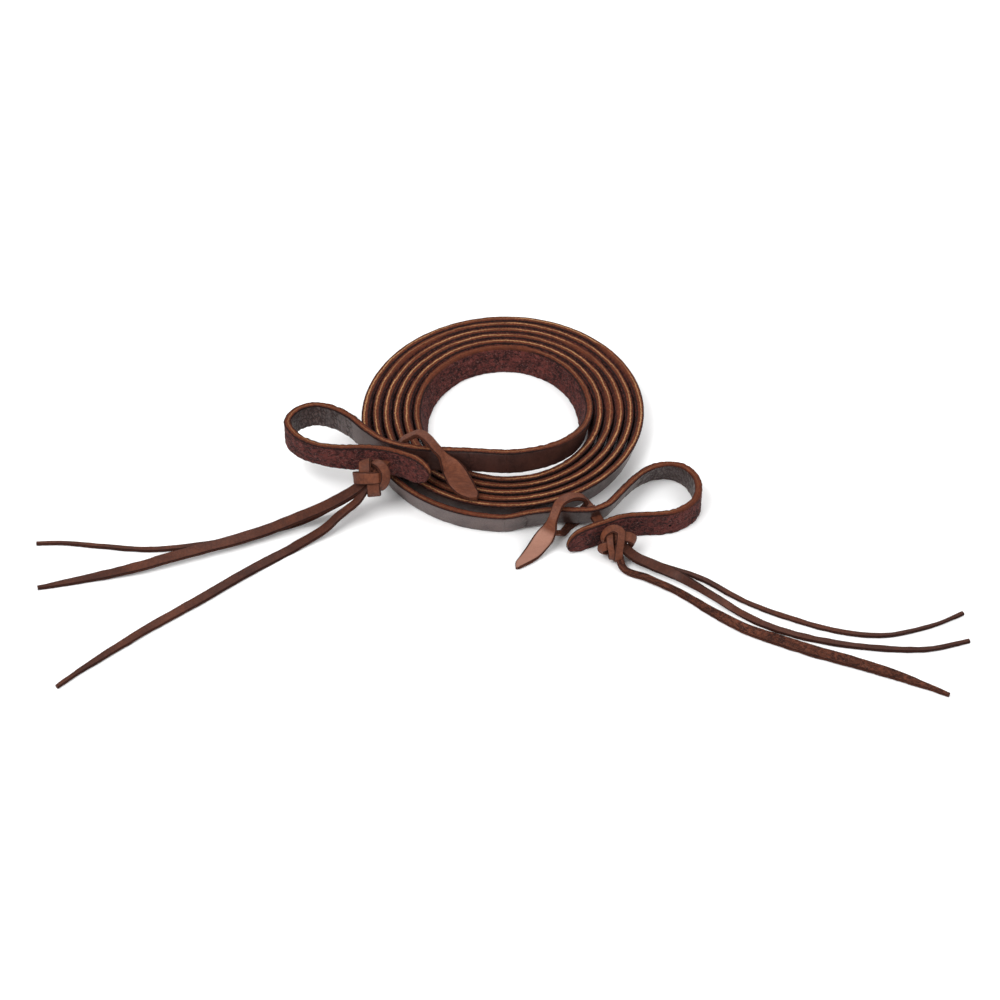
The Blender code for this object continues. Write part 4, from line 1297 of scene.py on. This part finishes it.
@dataclass
class Studio:
    """Camera, floor and soft light."""

    distance: float = 1.2
    elevation: float = math.radians(45.5)
    lens: float = 94.63
    floor_size: float = 6.0
    lights: dict[str, tuple[Colour, float, float]] = field(default_factory=lambda: {
        "key": ((-0.7, -0.5, 1.3), 0.9, 18.0),
        "fill": ((0.9, -0.6, 1.0), 1.0, 9.0),
        "back": ((0.1, 1.2, 1.0), 0.9, 9.0),
    })

    def camera(self) -> bpy.types.Object:
        """The camera, aimed at the middle of the routes from above the front."""
        data = bpy.data.cameras.new("camera")
        data.lens, data.sensor_width = self.lens, 36.0
        data.clip_start, data.clip_end = 0.05, 20.0
        made = bpy.data.objects.new("camera", data)
        back = Vector((0.0, -math.cos(self.elevation), math.sin(self.elevation)))
        made.location = Vector(SHIFT) + back * self.distance
        made.rotation_mode = "QUATERNION"
        made.rotation_quaternion = (-back).to_track_quat("-Z", "Y")
        bpy.context.scene.collection.objects.link(made)
        bpy.context.scene.camera = made
        return made

    def light(self, name: str, place: Colour, size: float, power: float) -> None:
        """A square soft light aimed at the reins."""
        data = bpy.data.lights.new(name, "AREA")
        data.size, data.energy = size, power
        made = bpy.data.objects.new(name, data)
        made.location = place
        made.rotation_mode = "QUATERNION"
        made.rotation_quaternion = (-Vector(place)).to_track_quat("-Z", "Y")
        bpy.context.scene.collection.objects.link(made)

    def build(self) -> None:
        """Make the floor, the lights and the even light all round."""
        self.camera()
        half = self.floor_size / 2
        mesh = bpy.data.meshes.new("floor")
        corners = [(-half, -half, 0), (half, -half, 0), (half, half, 0), (-half, half, 0)]
        mesh.from_pydata(corners, [], [(0, 1, 2, 3)])
        floor = bpy.data.objects.new("floor", mesh)
        floor.location.z = -0.0001
        bpy.context.scene.collection.objects.link(floor)
        paint = bpy.data.materials.new("pale_floor")
        paint.use_nodes = True
        shader = paint.node_tree.nodes["Principled BSDF"]
        shader.inputs["Base Color"].default_value = (0.93, 0.93, 0.93, 1.0)
        shader.inputs["Roughness"].default_value = 0.9
        shader.inputs["Specular IOR Level"].default_value = 0.1
        mesh.materials.append(paint)
        for name, (place, size, power) in self.lights.items():
            self.light(name, place, size, power)
        world = bpy.data.worlds.new("even_light")
        world.use_nodes = True
        world.node_tree.nodes["Background"].inputs["Color"].default_value = (1.0, 1.0, 1.0, 1.0)
        world.node_tree.nodes["Background"].inputs["Strength"].default_value = 0.55
        bpy.context.scene.world = world
        bpy.context.scene.view_settings.view_transform = "Standard"


def main() -> None:
    """Build the studio and every piece, and report each one."""
    logging.basicConfig(level=logging.INFO, format="%(name)s: %(message)s")
    Studio().build()
    groups = {"leather_grain": grain_effect(), "fibre_nap": nap_effect(), "edge_layers": edge_effect()}
    strap_finish, thong_finish = STRAP_LEATHER.material(groups), THONG_LEATHER.material(groups)
    strap = Strap(strap_finish)
    pieces = [strap.coil(), strap.end(RIGHT), strap.end(LEFT)]
    for side in (RIGHT, LEFT):
        pieces += Tie(side, thong_finish).build()
    for piece in pieces:
        log.info("%s: %d faces", piece.name, len(piece.data.polygons))


if __name__ == "__main__":
    main()
